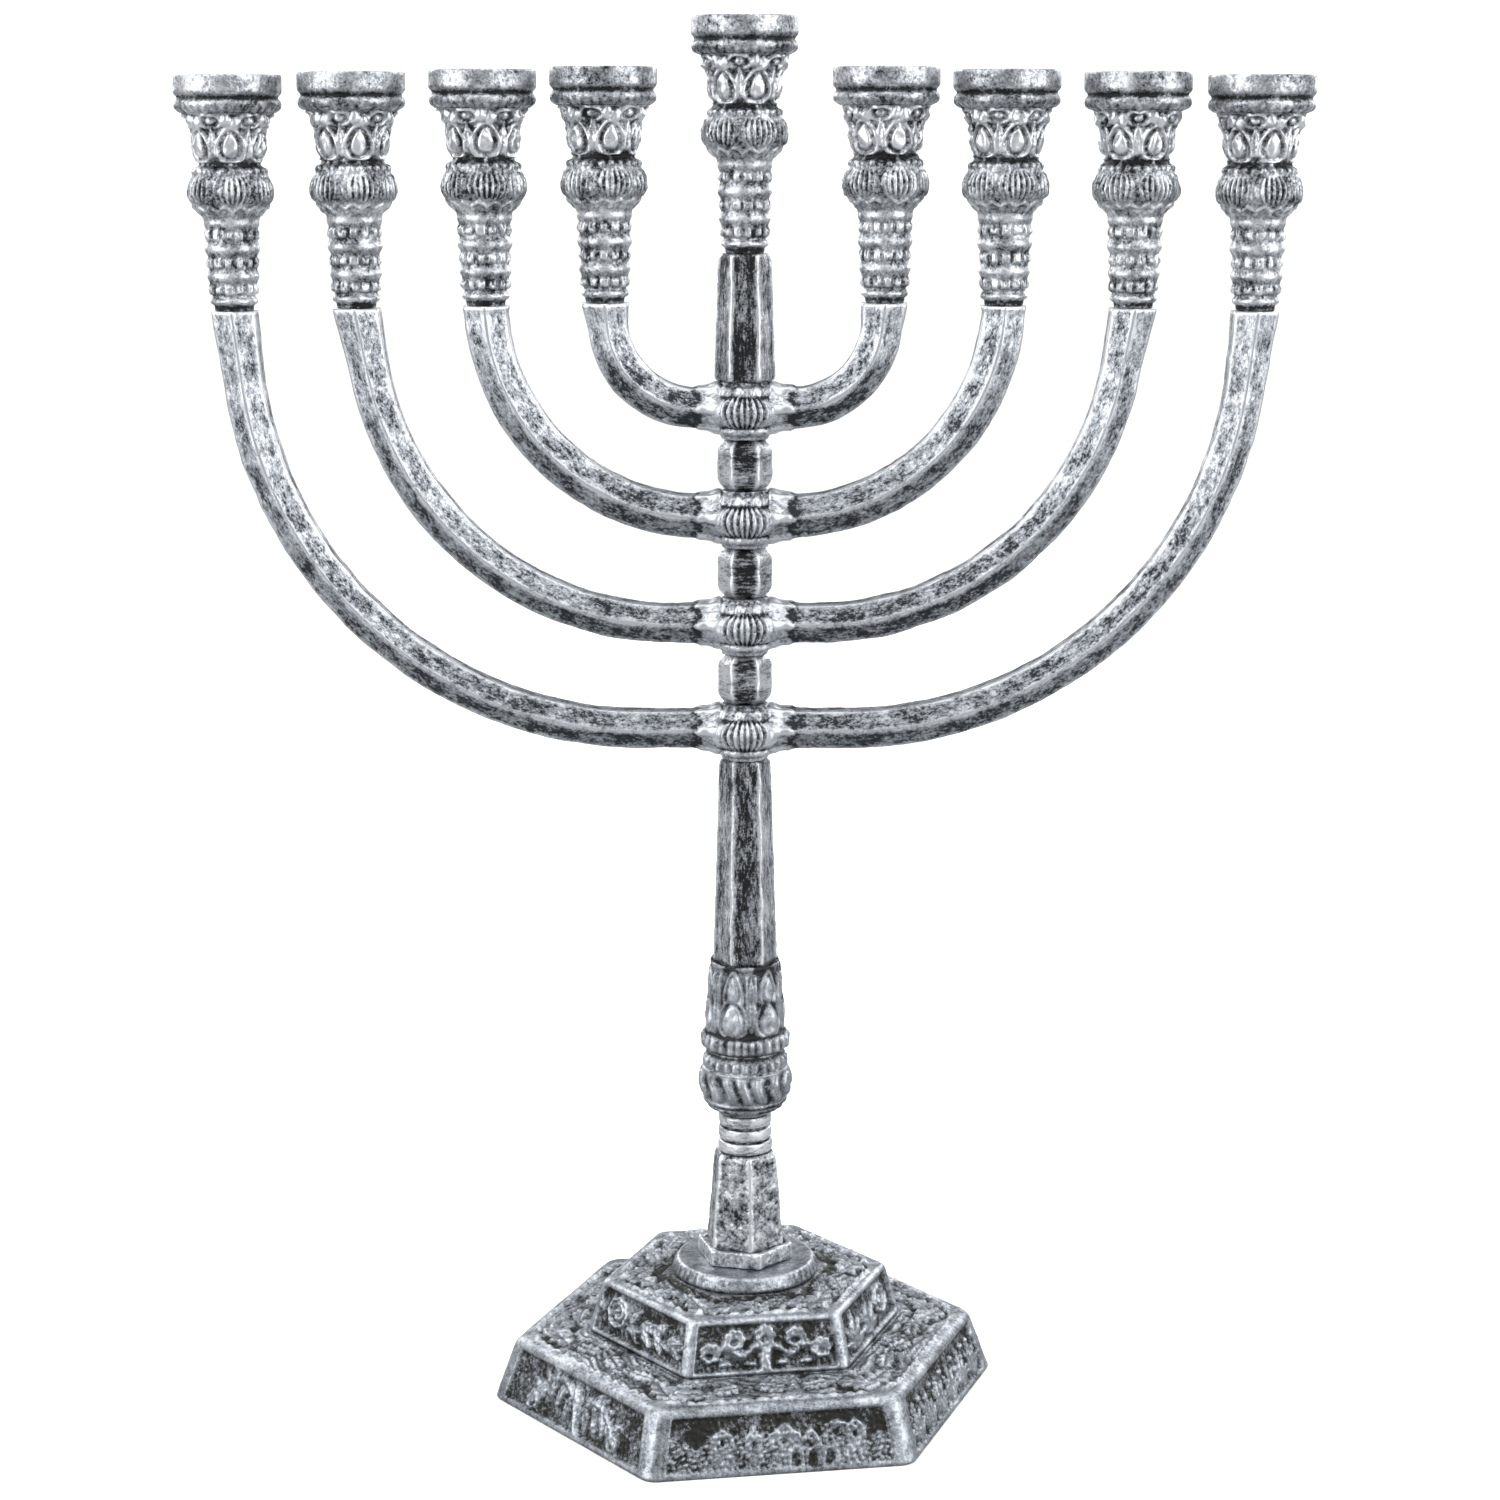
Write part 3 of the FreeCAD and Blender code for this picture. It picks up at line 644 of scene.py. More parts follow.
def makeBranches():
    plan = branchPlan
    for number in (1, 2, 3, 4):
        low = topOf(plan["below"][number])
        high = bottomOf(plan["above"][number])
        cup = "cup_right_%d" % number
        reach = sum(span(cup))[0] / 2
        parts = [armPart(number, side, (low + high) / 2 + plan["armRise"], bottomOf(cup), reach)
                 for side in (-1, 1)]
        path = boredPath([
            (rodBore, 0, 0), (5.9, 0, 0.2), (6.1, 0.9, 0.4), (7.2, 1.5, 0.5), (7.4, 2.8, 0.4),
            (7.5, 3.3, 0.3),
            (9.2, 4.2, 1.4), (10.1, 6.2, 1.8), (10.1, 8.2, 1.8), (9.2, 10.2, 1.4), (8.1, 11.0, 0.4),
            (7.9, 11.7, 0.4), (7.5, 13.0, 0.6), (6.3, 13.7, 0.5), (6.0, high - low, 0.2),
            (rodBore, high - low, 0)], plan["knopSpacing"])
        parts.append(turnedSkin(path, plan["knopColumns"], knopRelief(90 + number), -90, (0, 0, low)))
        makePiece("branch_%d_cast" % number, parts, armSilver, ["branch_%d" % number])


makeBranches()
print("branches made")

# six-sided shafts, barrels, plinth and foot; each piece's six numbers say how much brighter or darker
# its flats are painted, in the order hexOutline walks them: on the shafts, barrels and plinth this is painted
# shade and painted reflection, darkest on the front flat; the foot has one even tone
shaftLook = {"turn": 0.0, "rounding": 0.10, "soft": 0.8, "hammer": 1.0, "finish": shaftSilver}
barrelLook = {"turn": 0.0, "rounding": 0.16, "soft": 2.0, "hammer": 0.8, "finish": stemSilver,
              "foot": 6.15, "head": 6.15, "facetToneAndShade": (0.12, -0.36, 0.12, 0.12, -0.36, 0.12)}
shaftPlan = {
    "tall_shaft": {**shaftLook, "turn": 4.0, "foot": 7.35, "head": 5.9, "seed": 101,
                   "facetToneAndShade": (0.0, -0.3, 0.1, -0.16, -0.3, -0.08)},
    "upper_shaft": {**shaftLook, "foot": 6.75, "head": 5.85, "seed": 103,
                    "facetToneAndShade": (0.0, -0.3, 0.1, -0.16, -0.4, -0.1)},
    "barrel_1": {**barrelLook, "seed": 106}, "barrel_2": {**barrelLook, "seed": 107},
    "barrel_3": {**barrelLook, "seed": 108},
    "plinth": {"turn": -21.0, "rounding": 0.12, "foot": 9.55, "head": 7.65, "soft": 0.9, "seed": 111,
               "hammer": 1.0, "finish": footSilver, "facetToneAndShade": (-0.1, -0.1, -0.1, -0.08, -0.14, -0.08)},
}
shaftColumns = 150
shaftSpacing = 0.45


def flatRelief(seed, facetToneAndShade, hammer):
    # flats dented by two sizes of wave, with corners rubbed bright, and each flat given its own painted tone:
    # painted shade and reflection where the flats differ
    def relief(along, flat, height, side):
        outer = (flat > boreEdge) * 1.0
        uneven = ripple(along + 31.0 * side, flat, height, 5.0, seed)
        fine = ripple(along + 17.0 * side, flat, height * 2.5, 2.0, seed + 1)
        edge = ridge(flat * flatReach - np.abs(along), 0.8)
        # away from the rubbed corners each flat gets its own number: painted shade and reflection, except on
        # the foot, where all six are one tone
        wearAndShade = 0.46 + 0.45 * edge + (1 - edge) * np.array(facetToneAndShade)[side.astype(int)] + 0.06 * uneven
        return outer * hammer * (0.12 * uneven + 0.05 * fine), np.where(outer > 0, wearAndShade, 0.1)
    return relief


def makeShafts():
    for node, look in shaftPlan.items():
        low = bottomOf(node)
        high = topOf(node)
        soft = look["soft"]
        path = boredPath([
            (rodBore, low, 0), (look["foot"] - 0.9 * soft, low, 0.2), (look["foot"], low + soft, soft * 0.8),
            (look["head"], high - soft, soft * 0.8), (look["head"] - 0.9 * soft, high, 0.2),
            (rodBore, high, 0)], shaftSpacing, 3.0)
        relief = flatRelief(look["seed"], look["facetToneAndShade"], look["hammer"])
        skin = hexSkin(path, shaftColumns, look["rounding"], look["turn"], relief)
        makePiece(node + "_cast", [skin], look["finish"], [node])


footPlan = {"columns": 180, "spacing": 0.35, "rounding": 0.1, "turn": -13.0, "tone": 0.1}


def makeFoot():
    # low hexagonal ring with a raised lip round the plinth's seat
    low = bottomOf("foot_collar")
    high = topOf("foot_collar")
    seat = bottomOf("plinth")
    path = boredPath([
        (rodBore, low, 0), (11.0, low, 0.3), (11.35, low + 0.5, 0.4), (11.35, high - 0.35, 0.3),
        (11.0, high, 0.2),
        (9.8, high, 0.2), (9.7, seat, 0.2), (rodBore, seat, 0)], footPlan["spacing"])
    relief = flatRelief(115, (footPlan["tone"],) * hexSides, 1.0)
    skin = hexSkin(path, footPlan["columns"], footPlan["rounding"], footPlan["turn"], relief)
    makePiece("foot_collar_cast", [skin], footSilver, ["foot_collar"])


makeShafts()
makeFoot()
print("shafts made")

# turned pieces of the lower stem
collarPlan = {"columns": 128, "spacing": 0.2, "beads": 3, "widest": 7.2, "groove": 6.2}


def makeRingCollar():
    # three round beads, each a little slimmer than the one below
    plan = collarPlan
    low = bottomOf("ring_collar")
    high = topOf("ring_collar")
    pitch = (high - low) / plan["beads"]
    groove = plan["groove"]
    corners = [(rodBore, low, 0), (6.1, low, 0.2)]
    for bead in range(plan["beads"]):
        base = low + bead * pitch
        wide = plan["widest"] - 0.1 * bead
        corners += [(groove, base + 0.2, 0.2), (wide, base + 0.35, 1.5), (wide, base + pitch - 0.35, 1.5),
                    (groove, base + pitch - 0.2, 0.2)]
    path = boredPath(corners + [(6.1, high, 0.2), (rodBore, high, 0)], plan["spacing"])

    def relief(angle, radius, height):
        outer = radius > boreEdge
        wearAndShade = 0.5 + 0.2 * rise(radius, 6.9, 0.2) - 0.4 * (1 - rise(radius, 6.45, 0.2))
        return 0.05 * turnedRipple(angle, radius, height, 4.0, 120) * outer, np.where(outer, wearAndShade, 0.1)
    skin = turnedSkin(path, plan["columns"], relief)
    makePiece("ring_collar_cast", [skin], stemSilver, ["ring_collar"])


knopPlan = {"columns": 240, "spacing": 0.24, "leaves": 15, "flutes": 13}


def makeLowerKnop():
    # stepped foot, a bulb of narrow leaves bent like an S, a ring, and a fluted neck
    plan = knopPlan
    low = bottomOf("lower_knop")
    tall = topOf("lower_knop") - low
    path = boredPath([
        (rodBore, 0, 0), (7.2, 0, 0.2), (7.6, 1.0, 0.4), (9.7, 1.6, 0.3), (10.1, 2.1, 0.25), (9.8, 2.7, 0.2),
        (10.9, 3.2, 0.3), (11.2, 3.8, 0.3), (10.9, 4.5, 0.3), (12.0, 6.4, 1.5), (12.35, 9.0, 2.0),
        (11.8, 11.4, 0.8), (11.4, 11.9, 0.3), (11.6, 12.6, 0.4), (10.9, 13.0, 0.3), (10.9, 15.4, 1.2),
        (10.1, 16.4, 0.8), (9.9, tall, 0.3), (rodBore, tall, 0)], plan["spacing"], 2.5)

    def relief(angle, radius, height):
        outer = (radius > boreEdge) * 1.0
        sweep = 1.5 * np.sin((height - 7.9) * 0.5 + np.sin(angle * 2)) + 0.8 * np.sin(angle * 3)
        leaf = 0.5 + 0.5 * np.cos(angle * plan["leaves"] + sweep)
        slit = ridge(wrapped(angle + sweep / plan["leaves"], plan["leaves"]) * radius, 0.35)
        push = (1.0 * leaf ** 0.7 - 0.3 * slit - 0.55) * band(height, 4.8, 11.8, 0.5)
        flute = np.abs(np.cos(angle * plan["flutes"]))
        push += (0.75 * flute - 0.35) * band(height, 13.2, 15.6, 0.3)
        uneven = turnedRipple(angle, radius, height, 3.0, 131)
        push = outer * (push * (1 + 0.3 * uneven) + 0.06 * uneven)
        wearAndShade = 0.37 + 0.55 * push + 0.2 * ridge(height - 12.3, 0.4) - 0.22 * band(height, 0.6, 4.3, 0.3)
        for level in (1.5, 2.7, 4.1):
            wearAndShade += 0.2 * ridge(height - level, 0.3)
        wearAndShade -= 0.2 * ridge(height - 3.4, 0.25) + 0.3 * ridge(height - 16.8, 0.6)
        return push, np.where(outer > 0, wearAndShade, 0.1)
    skin = turnedSkin(path, plan["columns"], relief, -90, (0, 0, low))
    makePiece("lower_knop_cast", [skin], leafSilver, ["lower_knop"])


calyxPlan = {"columns": 240, "spacing": 0.26, "leaves": 6, "leafTurn": 20, "flutes": 15, "bellyHeight": 10.2,
             "budHeight": 17.6}


def makeCalyx():
    # wreath of flutes, then flask-shaped leaves and slim ones by turns, up to a six-cornered mouth
    plan = calyxPlan
    low = bottomOf("leaf_calyx")
    tall = topOf("leaf_calyx") - low
    seat = bottomOf("tall_shaft") - low
    path = boredPath([
        (rodBore, 0, 0), (9.9, 0, 0.2), (10.1, 0.4, 0.3), (11.4, 0.9, 0.8), (11.5, 3.8, 1.4),
        (10.6, 4.7, 0.5),
        (10.2, 5.6, 0.5), (10.1, 10.0, 2.0), (9.5, 17.0, 3.0), (9.6, tall - 1.6, 1.0), (9.2, tall, 0.5),
        (8.75, tall, 0.2), (8.7, seat, 0.1), (rodBore, seat, 0)], plan["spacing"], 3.0)

    def relief(angle, radius, height):
        outer = (radius > 8.9) * (height > 0.2) * 1.0
        turn = math.radians(plan["leafTurn"])
        near = wrapped(angle + turn, plan["leaves"]) * radius
        far = wrapped(angle + turn + math.pi / plan["leaves"], plan["leaves"]) * radius
        # a round belly drawn in to a neck, then a pointed bud
        bud = eggRadius(near, height - plan["budHeight"], 2.3, 4.9, 0.5)
        flask = np.minimum((eggRadius(near, height - plan["bellyHeight"], 3.9, 5.4, 0.28) - 1) * 3.6,
                           (bud - 1) * 2.2)
        zone = band(height, 5.0, tall - 1.0, 0.25)
        shapes = highest(
            zone * 0.75 * ridge(flask, 0.6),
            zone * 0.95 * rise(1 - eggRadius(near, height - 9.4, 3.0, 4.3, 0.3), 0, 0.16),
            zone * 0.8 * rise(1 - bud, 0.3, 0.14),
            0.85 * leafBlade(far, height - 6.0, 15.5, 2.0),
            0.95 * ridge(np.abs(far) - 1.2, 0.4) * band(height, 14.0, 21.5, 0.5))
        push = shapes - 0.5 * zone
        push += 0.3 * np.cos(angle * 6 - math.radians(24)) * rise(height, tall - 2.5, 0.8)
        flute = np.abs(np.cos(angle * plan["flutes"] + 0.9 * np.sin(angle * 4)))
        push += (0.8 * flute - 0.35) * band(height, 0.8, 4.3, 0.5)
        uneven = turnedRipple(angle, radius, height, 3.4, 141)
        push = outer * (push * (1 + 0.2 * uneven) + 0.1 * uneven)
        # dark beside the neck of each flask and over the wreath; the mouth's top lip, where the shaft stands
        # in it, is painted darker as shade
        beside = rise(np.abs(near), 1.8, 0.5) * (1 - rise(np.abs(near), 3.4, 0.5))
        # the last term darkens the top 1.2 mm of the lip as painted shade under the shaft
        wearAndShade = 0.36 + 0.6 * push - 0.2 * rise(height, tall - 1.2, 0.3) - 0.45 * ridge(height - 5.0, 0.5)
        wearAndShade -= 0.25 * ridge(height - 13.6, 1.6) * beside
        return push, np.where(outer > 0, wearAndShade, 0.15)
    skin = turnedSkin(path, plan["columns"], relief, -90, (0, 0, low))
    makePiece("leaf_calyx_cast", [skin], leafSilver, ["leaf_calyx"])


platePlan = {"columns": 320, "spacing": 0.3, "petals": 26, "petalDepth": 0.35}


def makeRoundPlate():
    # smooth disc whose skirt is ribbed in patches
    plan = platePlan
    low = bottomOf("round_plate")
    high = topOf("round_plate")
    path = boredPath([(rodBore, low, 0), (19.3, low, 0.3), (19.6, low + 0.9, 0.5), (18.7, high - 0.7, 0.8),
                      (17.9, high, 0.5), (16.9, high - 0.12, 0.4), (rodBore, high, 0)], plan["spacing"])

    def relief(angle, radius, height):
        outer = radius > boreEdge
        skirt = rise(radius, 17.7, 0.35) * band(height, low + 0.1, high - 0.1, 0.25)
        petals = plan["petalDepth"] * np.abs(np.cos(angle * plan["petals"])) - 0.3
        deep = 0.9 + 0.5 * turnedRipple(angle, radius, height, 9.0, 151)
        patchy = np.clip(0.5 + 0.9 * turnedRipple(angle, radius, 0 * height, 14.0, 153), 0, 1)
        push = skirt * petals * deep * (0.15 + 0.85 * patchy)
        push += 0.04 * turnedRipple(angle, radius, height, 6.0, 152) * outer
        wearAndShade = 0.47 + 0.9 * push * skirt + 0.22 * ridge(radius - 17.9, 0.5) * (height > high - 1)
        wearAndShade = np.where(height < low + 0.4, 0.15, wearAndShade)
        return push, np.where(outer, wearAndShade, 0.1)
    skin = turnedSkin(path, plan["columns"], relief)
    makePiece("round_plate_cast", [skin], baseSilver, ["round_plate"], "base")


makeRingCollar()
makeLowerKnop()
makeCalyx()
makeRoundPlate()
print("turned pieces made")

# base: two hexagonal tiers with relief; flats are numbered from the right of +Y, anticlockwise
backRightSide, backSide, backLeftSide, leftSide, frontSide, rightSide = range(hexSides)
basePlan = {"turn": 8.9, "rounding": 0.085, "wall": 3.4, "hiddenSpacing": 6.0}
tierPlan = (
    # sizes of the lower tier and then the upper; floors are how dark the sunk panels are: patina in the
    # hollows, made darker on the front and back flats than on the sides as painted shade
    {"columns": 900, "spacing": 0.385, "bottom": 0.0, "top": 16.8, "footFlat": 59.05, "topFlat": 53.75,
     "panelFrom": -1.0, "panelTo": 16.6, "panelFlat": 0.0, "panelTall": 17.6, "taper": 0.17, "margin": 4.6,
     "sill": 1.9, "lintel": 2.3, "proud": 1.15, "grain": 0.2, "tone": 0.46, "shine": 0.55,
     "frontFloor": 0.45, "sideFloor": 0.33, "topTo": 17.9, "topWidth": 26.5, "topDepth": 16.2, "leaf": 5.2,
     "seed": 171, "seat": 0.0, "sunk": 0.8, "topProud": 1.05, "topTone": 0.44, "topFloor": 0.32,
     "topShine": 0.5},
    {"columns": 630, "spacing": 0.36, "bottom": 17.8, "top": 31.7, "footFlat": 36.95, "topFlat": 33.3,
     "panelFrom": 17.9, "panelTo": 31.6, "panelFlat": 32.0, "panelTall": 14.4, "taper": 0.14, "margin": 2.4,
     "sill": 1.1, "lintel": 1.5, "proud": 1.2, "grain": 0.15, "tone": 0.52, "shine": 0.62,
     "frontFloor": 0.43, "sideFloor": 0.38, "topTo": 99.0, "topWidth": 15.5, "topDepth": 13.4, "leaf": 5.6,
     "seed": 175, "seat": 19.6, "sunk": 0.9, "topProud": 1.15, "topTone": 0.48, "topFloor": 0.4,
     "topShine": 0.5},
)


def rooftops(along, up, seed):
    # plain gabled huts on the right, a rubble bank on the left, three round arches at the foot
    random = np.random.default_rng(seed)
    cobble = (0.5 + 0.5 * np.sin(along * 3.7 + 2.2 * np.sin(up * 1.4 + seed))) \
        * (0.5 + 0.5 * np.sin(up * 4.6 + 1.8 * np.sin(along * 1.1)))
    bank = 7.4 + 1.4 * np.sin(along * 0.42 + 1) + 0.8 * np.sin(along * 1.3)
    height = (0.25 + 0.65 * cobble) * (1 - rise(up, bank, 0.4))
    for centre, half, wall, roof in ((-14.5, 3.2, 8.3, 2.2), (1.5, 4.2, 8.0, 3.4), (8.2, 2.9, 6.2, 3.6),
                                     (14.6, 3.4, 9.8, 1.6), (19.6, 3.0, 8.8, 2.6), (-6.5, 2.4, 7.6, 2.6)):
        top = wall + roof * np.clip(1 - np.abs(along - centre) / half, 0, 1)
        inside = band(along, centre - half, centre + half, 0.15) * (1 - rise(up, top, 0.16))
        roofSkin = rise(up, wall, 0.2)
        body = inside * (0.55 + 0.4 * roofSkin + 0.25 * cobble * (1 - roofSkin))
        window = dome(along - centre, up - wall + 1.6, 0.8, 0.9)
        window = window + dome(along - centre, up - wall - 0.9, 0.5, 0.4)
        height = highest(height, body) - 0.7 * np.clip(window, 0, 1) * inside
    for centre in (4.2, 8.6, 13.0):
        arch = eggRadius(along - centre, up - 0.6, 1.3, 3.4, 0.0)
        pier = band(along, centre - 2.2, centre + 2.2, 0.2) * (1 - rise(up, 4.6, 0.2))
        height = highest(height, 0.95 * pier)
        height = height * (1 - 0.9 * rise(1 - arch, 0, 0.12))
    return height + 0.12 * random.uniform() * cobble


def twoFronds(along, up, mirror):
    # two wide fronds spring from one leaning stalk: an arched backbone with leaflets that droop
    # below it and small ones above, each ending in a curl
    a = along * mirror
    shapes = [ridge(a - 1.5 + 0.25 * up, 1.3) * (1 - rise(up, 11.6, 0.5))]
    for way, reach, crown in ((-1, 21.0, 11.2), (1, 18.5, 9.6)):
        out = way * (a - 0.6)

        def backbone(share):
            return 1.0 + crown * np.sin(math.pi * share ** 0.8) ** 0.7 - 1.5 * share
        shapes.append(ridge(up - backbone(np.clip(out / reach, 0, 1)), 1.1) * band(out, 0.2, reach, 0.4))
        for step in (0.16, 0.32, 0.48, 0.64, 0.8):
            root = backbone(step)
            across, grow = turnedAxes(out, up, step * reach, root - 0.6, -(160 - 30 * step))
            shapes.append(0.9 * leafBlade(across - 0.03 * grow * grow, grow, min(root, 8.5) * 0.94, 1.75))
            across, grow = turnedAxes(out, up, step * reach, root + 0.3, -(30 + 40 * step))
            shapes.append(0.8 * leafBlade(across, grow, 3.8, 1.2))
        tip = out - reach + 2.2
        shapes.append(0.95 * ridge(np.hypot(tip, up - 2.6) - 1.9, 0.6))
        shapes.append(0.9 * dome(tip, up - 2.6, 0.8, 0.8))
    return highest(*shapes)


def fanRow(along, up, width):
    # a row of upright fans, each of five blades, with a small arch and a berry between them
    pitch = width * 2 / 6
    cell = (along + width * 9) % pitch - pitch / 2
    between = np.abs(cell) - pitch / 2
    shapes = [0.8 * dome(cell, up - 1.4, 1.5, 1.4), 0.8 * dome(between, up - 10.0, 1.0, 1.0),
              0.7 * ridge(np.hypot(between, up - 1.0) - 2.0, 0.4)]
    for lean in (-52, -26, 0, 26, 52):
        across, grow = turnedAxes(cell, up, 0, 1.2, -lean)
        shapes.append(1.0 * leafBlade(across, grow, 10.4 - abs(lean) * 0.06, 1.15))
    return highest(*shapes)


def scallopFlower(across, up, size, scallops):
    # round flower head with a scalloped edge, a raised rim and a sunk, curled heart
    distance = np.hypot(across, up)
    edge = size * (0.84 + 0.16 * np.abs(np.cos(scallops * np.arctan2(up, across) / 2)))
    body = rise(edge - distance, 0, size * 0.06) * (0.55 + 0.45 * np.clip(distance / size, 0, 1))
    return body * (1 - 0.9 * dome(across + 0.1 * size, up + 0.3 * size, size * 0.42, size * 0.3))


def rosetteVine(along, up, width, tall):
    # a short trunk, two winding stems, five scalloped flowers and four pebbles
    wind = tall * 0.42 + tall * 0.1 * np.sin(np.abs(along) * 0.75)
    flowers = [scallopFlower(along - centre * width, up - level * tall, 2.9, 7) for centre, level in
               ((0, 0.74), (-0.46, 0.68), (0.46, 0.68), (-0.84, 0.42), (0.84, 0.42))]
    pebbles = [0.8 * dome(along - centre * width, up - 0.14 * tall, 1.8, 0.8)
               for centre in (-0.6, -0.24, 0.24, 0.6)]
    return highest(1.0 * band(along, -1.3, 1.3, 0.2) * (1 - rise(up, tall * 0.5, 0.4)),
                   0.9 * ridge(up - wind, 1.1) * band(along, -width * 0.8, width * 0.8, 0.4),
                   *flowers, *pebbles)


def openFlower(across, up, size):
    # a coil for the heart, scalloped petals round it
    distance = np.hypot(across, up)
    turn = np.arctan2(up, across)
    coil = (0.55 + 0.45 * np.cos(distance * 3.1 - turn)) * (1 - rise(distance, size * 0.62, 0.15))
    return highest(0.95 * coil, 1.0 * ridge(distance - size * (0.76 + 0.12 * np.abs(np.cos(turn * 4))), 0.55))


def flowerAndSpray(along, up, width, tall, mirror):
    # one open flower at the end of a spray of broad leaves
    a = along * mirror
    shapes = [openFlower(a + 0.62 * width, up - 0.56 * tall, 4.4),
              0.8 * ridge(up - tall * (0.4 + 0.1 * np.sin(a * 0.4)), 0.8) * rise(a, -0.35 * width, 0.4)]
    for centre, lean, length, half in ((-0.3, 28, 6.4, 1.6), (-0.26, 132, 5.4, 1.4), (-0.05, 50, 7.2, 1.9),
                                       (0.0, 118, 6.0, 1.6), (0.3, 36, 7.4, 2.0), (0.34, 128, 5.6, 1.6),
                                       (0.62, 62, 6.4, 1.9), (0.66, 108, 6.0, 1.7), (-0.95, -30, 4.6, 1.4)):
        across, grow = turnedAxes(a, up, centre * width, tall * 0.42, -lean)
        shapes.append(0.95 * leafBlade(across - 0.03 * grow * grow, grow, length, half))
    return highest(*shapes)


def flowerAndFans(along, up, width, tall):
    # a flower high at one end, then two open fans of broad leaves, each on a round bud
    shapes = [openFlower(along - 0.6 * width, up - 0.56 * tall, 4.2)]
    for centre in (-0.62, 0.0):
        for lean in (-72, -36, 0, 36, 72):
            across, grow = turnedAxes(along, up, centre * width, 1.4, -lean)
            shapes.append(0.95 * leafBlade(across, grow, tall * (0.86 - 0.004 * abs(lean)), 1.5))
        shapes.append(0.9 * dome(along - centre * width, up - 1.4, 1.6, 1.5))
    return highest(*shapes)


def sidePanel(along, up, side, halfWidth, tier):
    # sunk field with a soft frame, and the relief that stands in it, chosen by the flat's number
    inner = halfWidth - tier["margin"] - tier["taper"] * up
    low = tier["sill"]
    room = tier["panelTall"] - tier["lintel"] - low
    field = band(along, -inner, inner, 0.22) * band(up, low, low + room, 0.22)
    level = up - low
    width = halfWidth - tier["margin"] - tier["taper"] * tier["panelTall"] / 2 - 0.6
    if tier["bottom"] == 0:
        patterns = {frontSide: rooftops(along, level, 5), backSide: rooftops(along, level, 8),
                    leftSide: twoFronds(along, level, 1), backRightSide: twoFronds(along, level, -1),
                    rightSide: fanRow(along, level, width), backLeftSide: fanRow(along, level, width)}
    else:
        vine = rosetteVine(along, level, width, room)
        fans = flowerAndFans(along, level, width, room)
        patterns = {frontSide: vine, backSide: vine, rightSide: fans, backLeftSide: fans,
                    leftSide: flowerAndSpray(along, level, width, room, 1),
                    backRightSide: flowerAndSpray(along, level, width, room, -1)}
    relief = np.select([side == number for number in patterns], list(patterns.values()))
    return field, relief, 0.12 * ridge(np.abs(along) - inner - 0.5, 0.4) * band(up, low, low + room, 0.3)


def topField(along, fromEdge, side, halfSide, tier):
    # a tier's top: plain border, a bright scalloped line that rounds the corners, and inside it
    # waves, berries in rows and big jagged leaves
    width = tier["topWidth"]
    size = tier["leaf"]
    share = np.clip(np.abs(along) / halfSide, 0, 1)
    line = 2.6 + 3.0 * share ** 7 + 0.3 * np.abs(np.sin(along * 0.75 + side))
    inside = rise(fromEdge, line, 0.12)
    beads = 0.7 + 0.3 * np.cos(along * 1.7 + 0.8 * np.sin(along * 0.6))
    bend = 1.6 * np.sin(along * 0.23 + side * 2.1) + 0.9 * np.sin(along * 0.51 + fromEdge * 0.3)
    waves = 0.5 + 0.5 * np.sin((fromEdge + bend) * 2.6)
    rows = inside * band(np.sin(along * 0.3 + side * 1.7), 0.2, 2, 0.15)
    berry = dome((along + 0.8 * np.round(fromEdge / 1.6)) % 1.9 - 0.95, (fromEdge % 1.6) - 0.8, 0.85, 0.72)
    height = highest(1.15 * beads * ridge(fromEdge - line, 0.55), inside * 0.5 * waves ** 2,
                     rows * 0.8 * berry)
    random = np.random.default_rng(tier["seed"])
    room = tier["topDepth"] - 3.6
    shade = 0.66 + 0 * along
    count = max(3, int(width * 2 / (size * 1.75)))
    for number, centre in enumerate(np.linspace(-width * 0.86, width * 0.86, count)):
        corner = number in (0, count - 1)
        level = 3.6 + room * (0.42 if corner else random.uniform(0.3, 0.7))
        reach = size * (1.15 if corner else random.uniform(0.75, 0.95))
        lean = random.choice([-1, 1]) * random.uniform(48, 118)
        across, grow = turnedAxes(along, fromEdge, centre, level, -lean)
        clear = rise(np.abs(across) - reach * 0.8, 0, 0.5) + rise(np.abs(grow) - reach, 0, 0.5)
        clear = np.clip(clear, 0, 1)
        shade = highest(shade, 1 - clear)  # the ground is darker round each leaf
        height = highest(height * clear, 1.1 * oakLeaf(across, grow + reach, 2 * reach, reach * 0.62))
    return height * rise(tier["topDepth"] - fromEdge, 0.2, 0.3), inside * shade


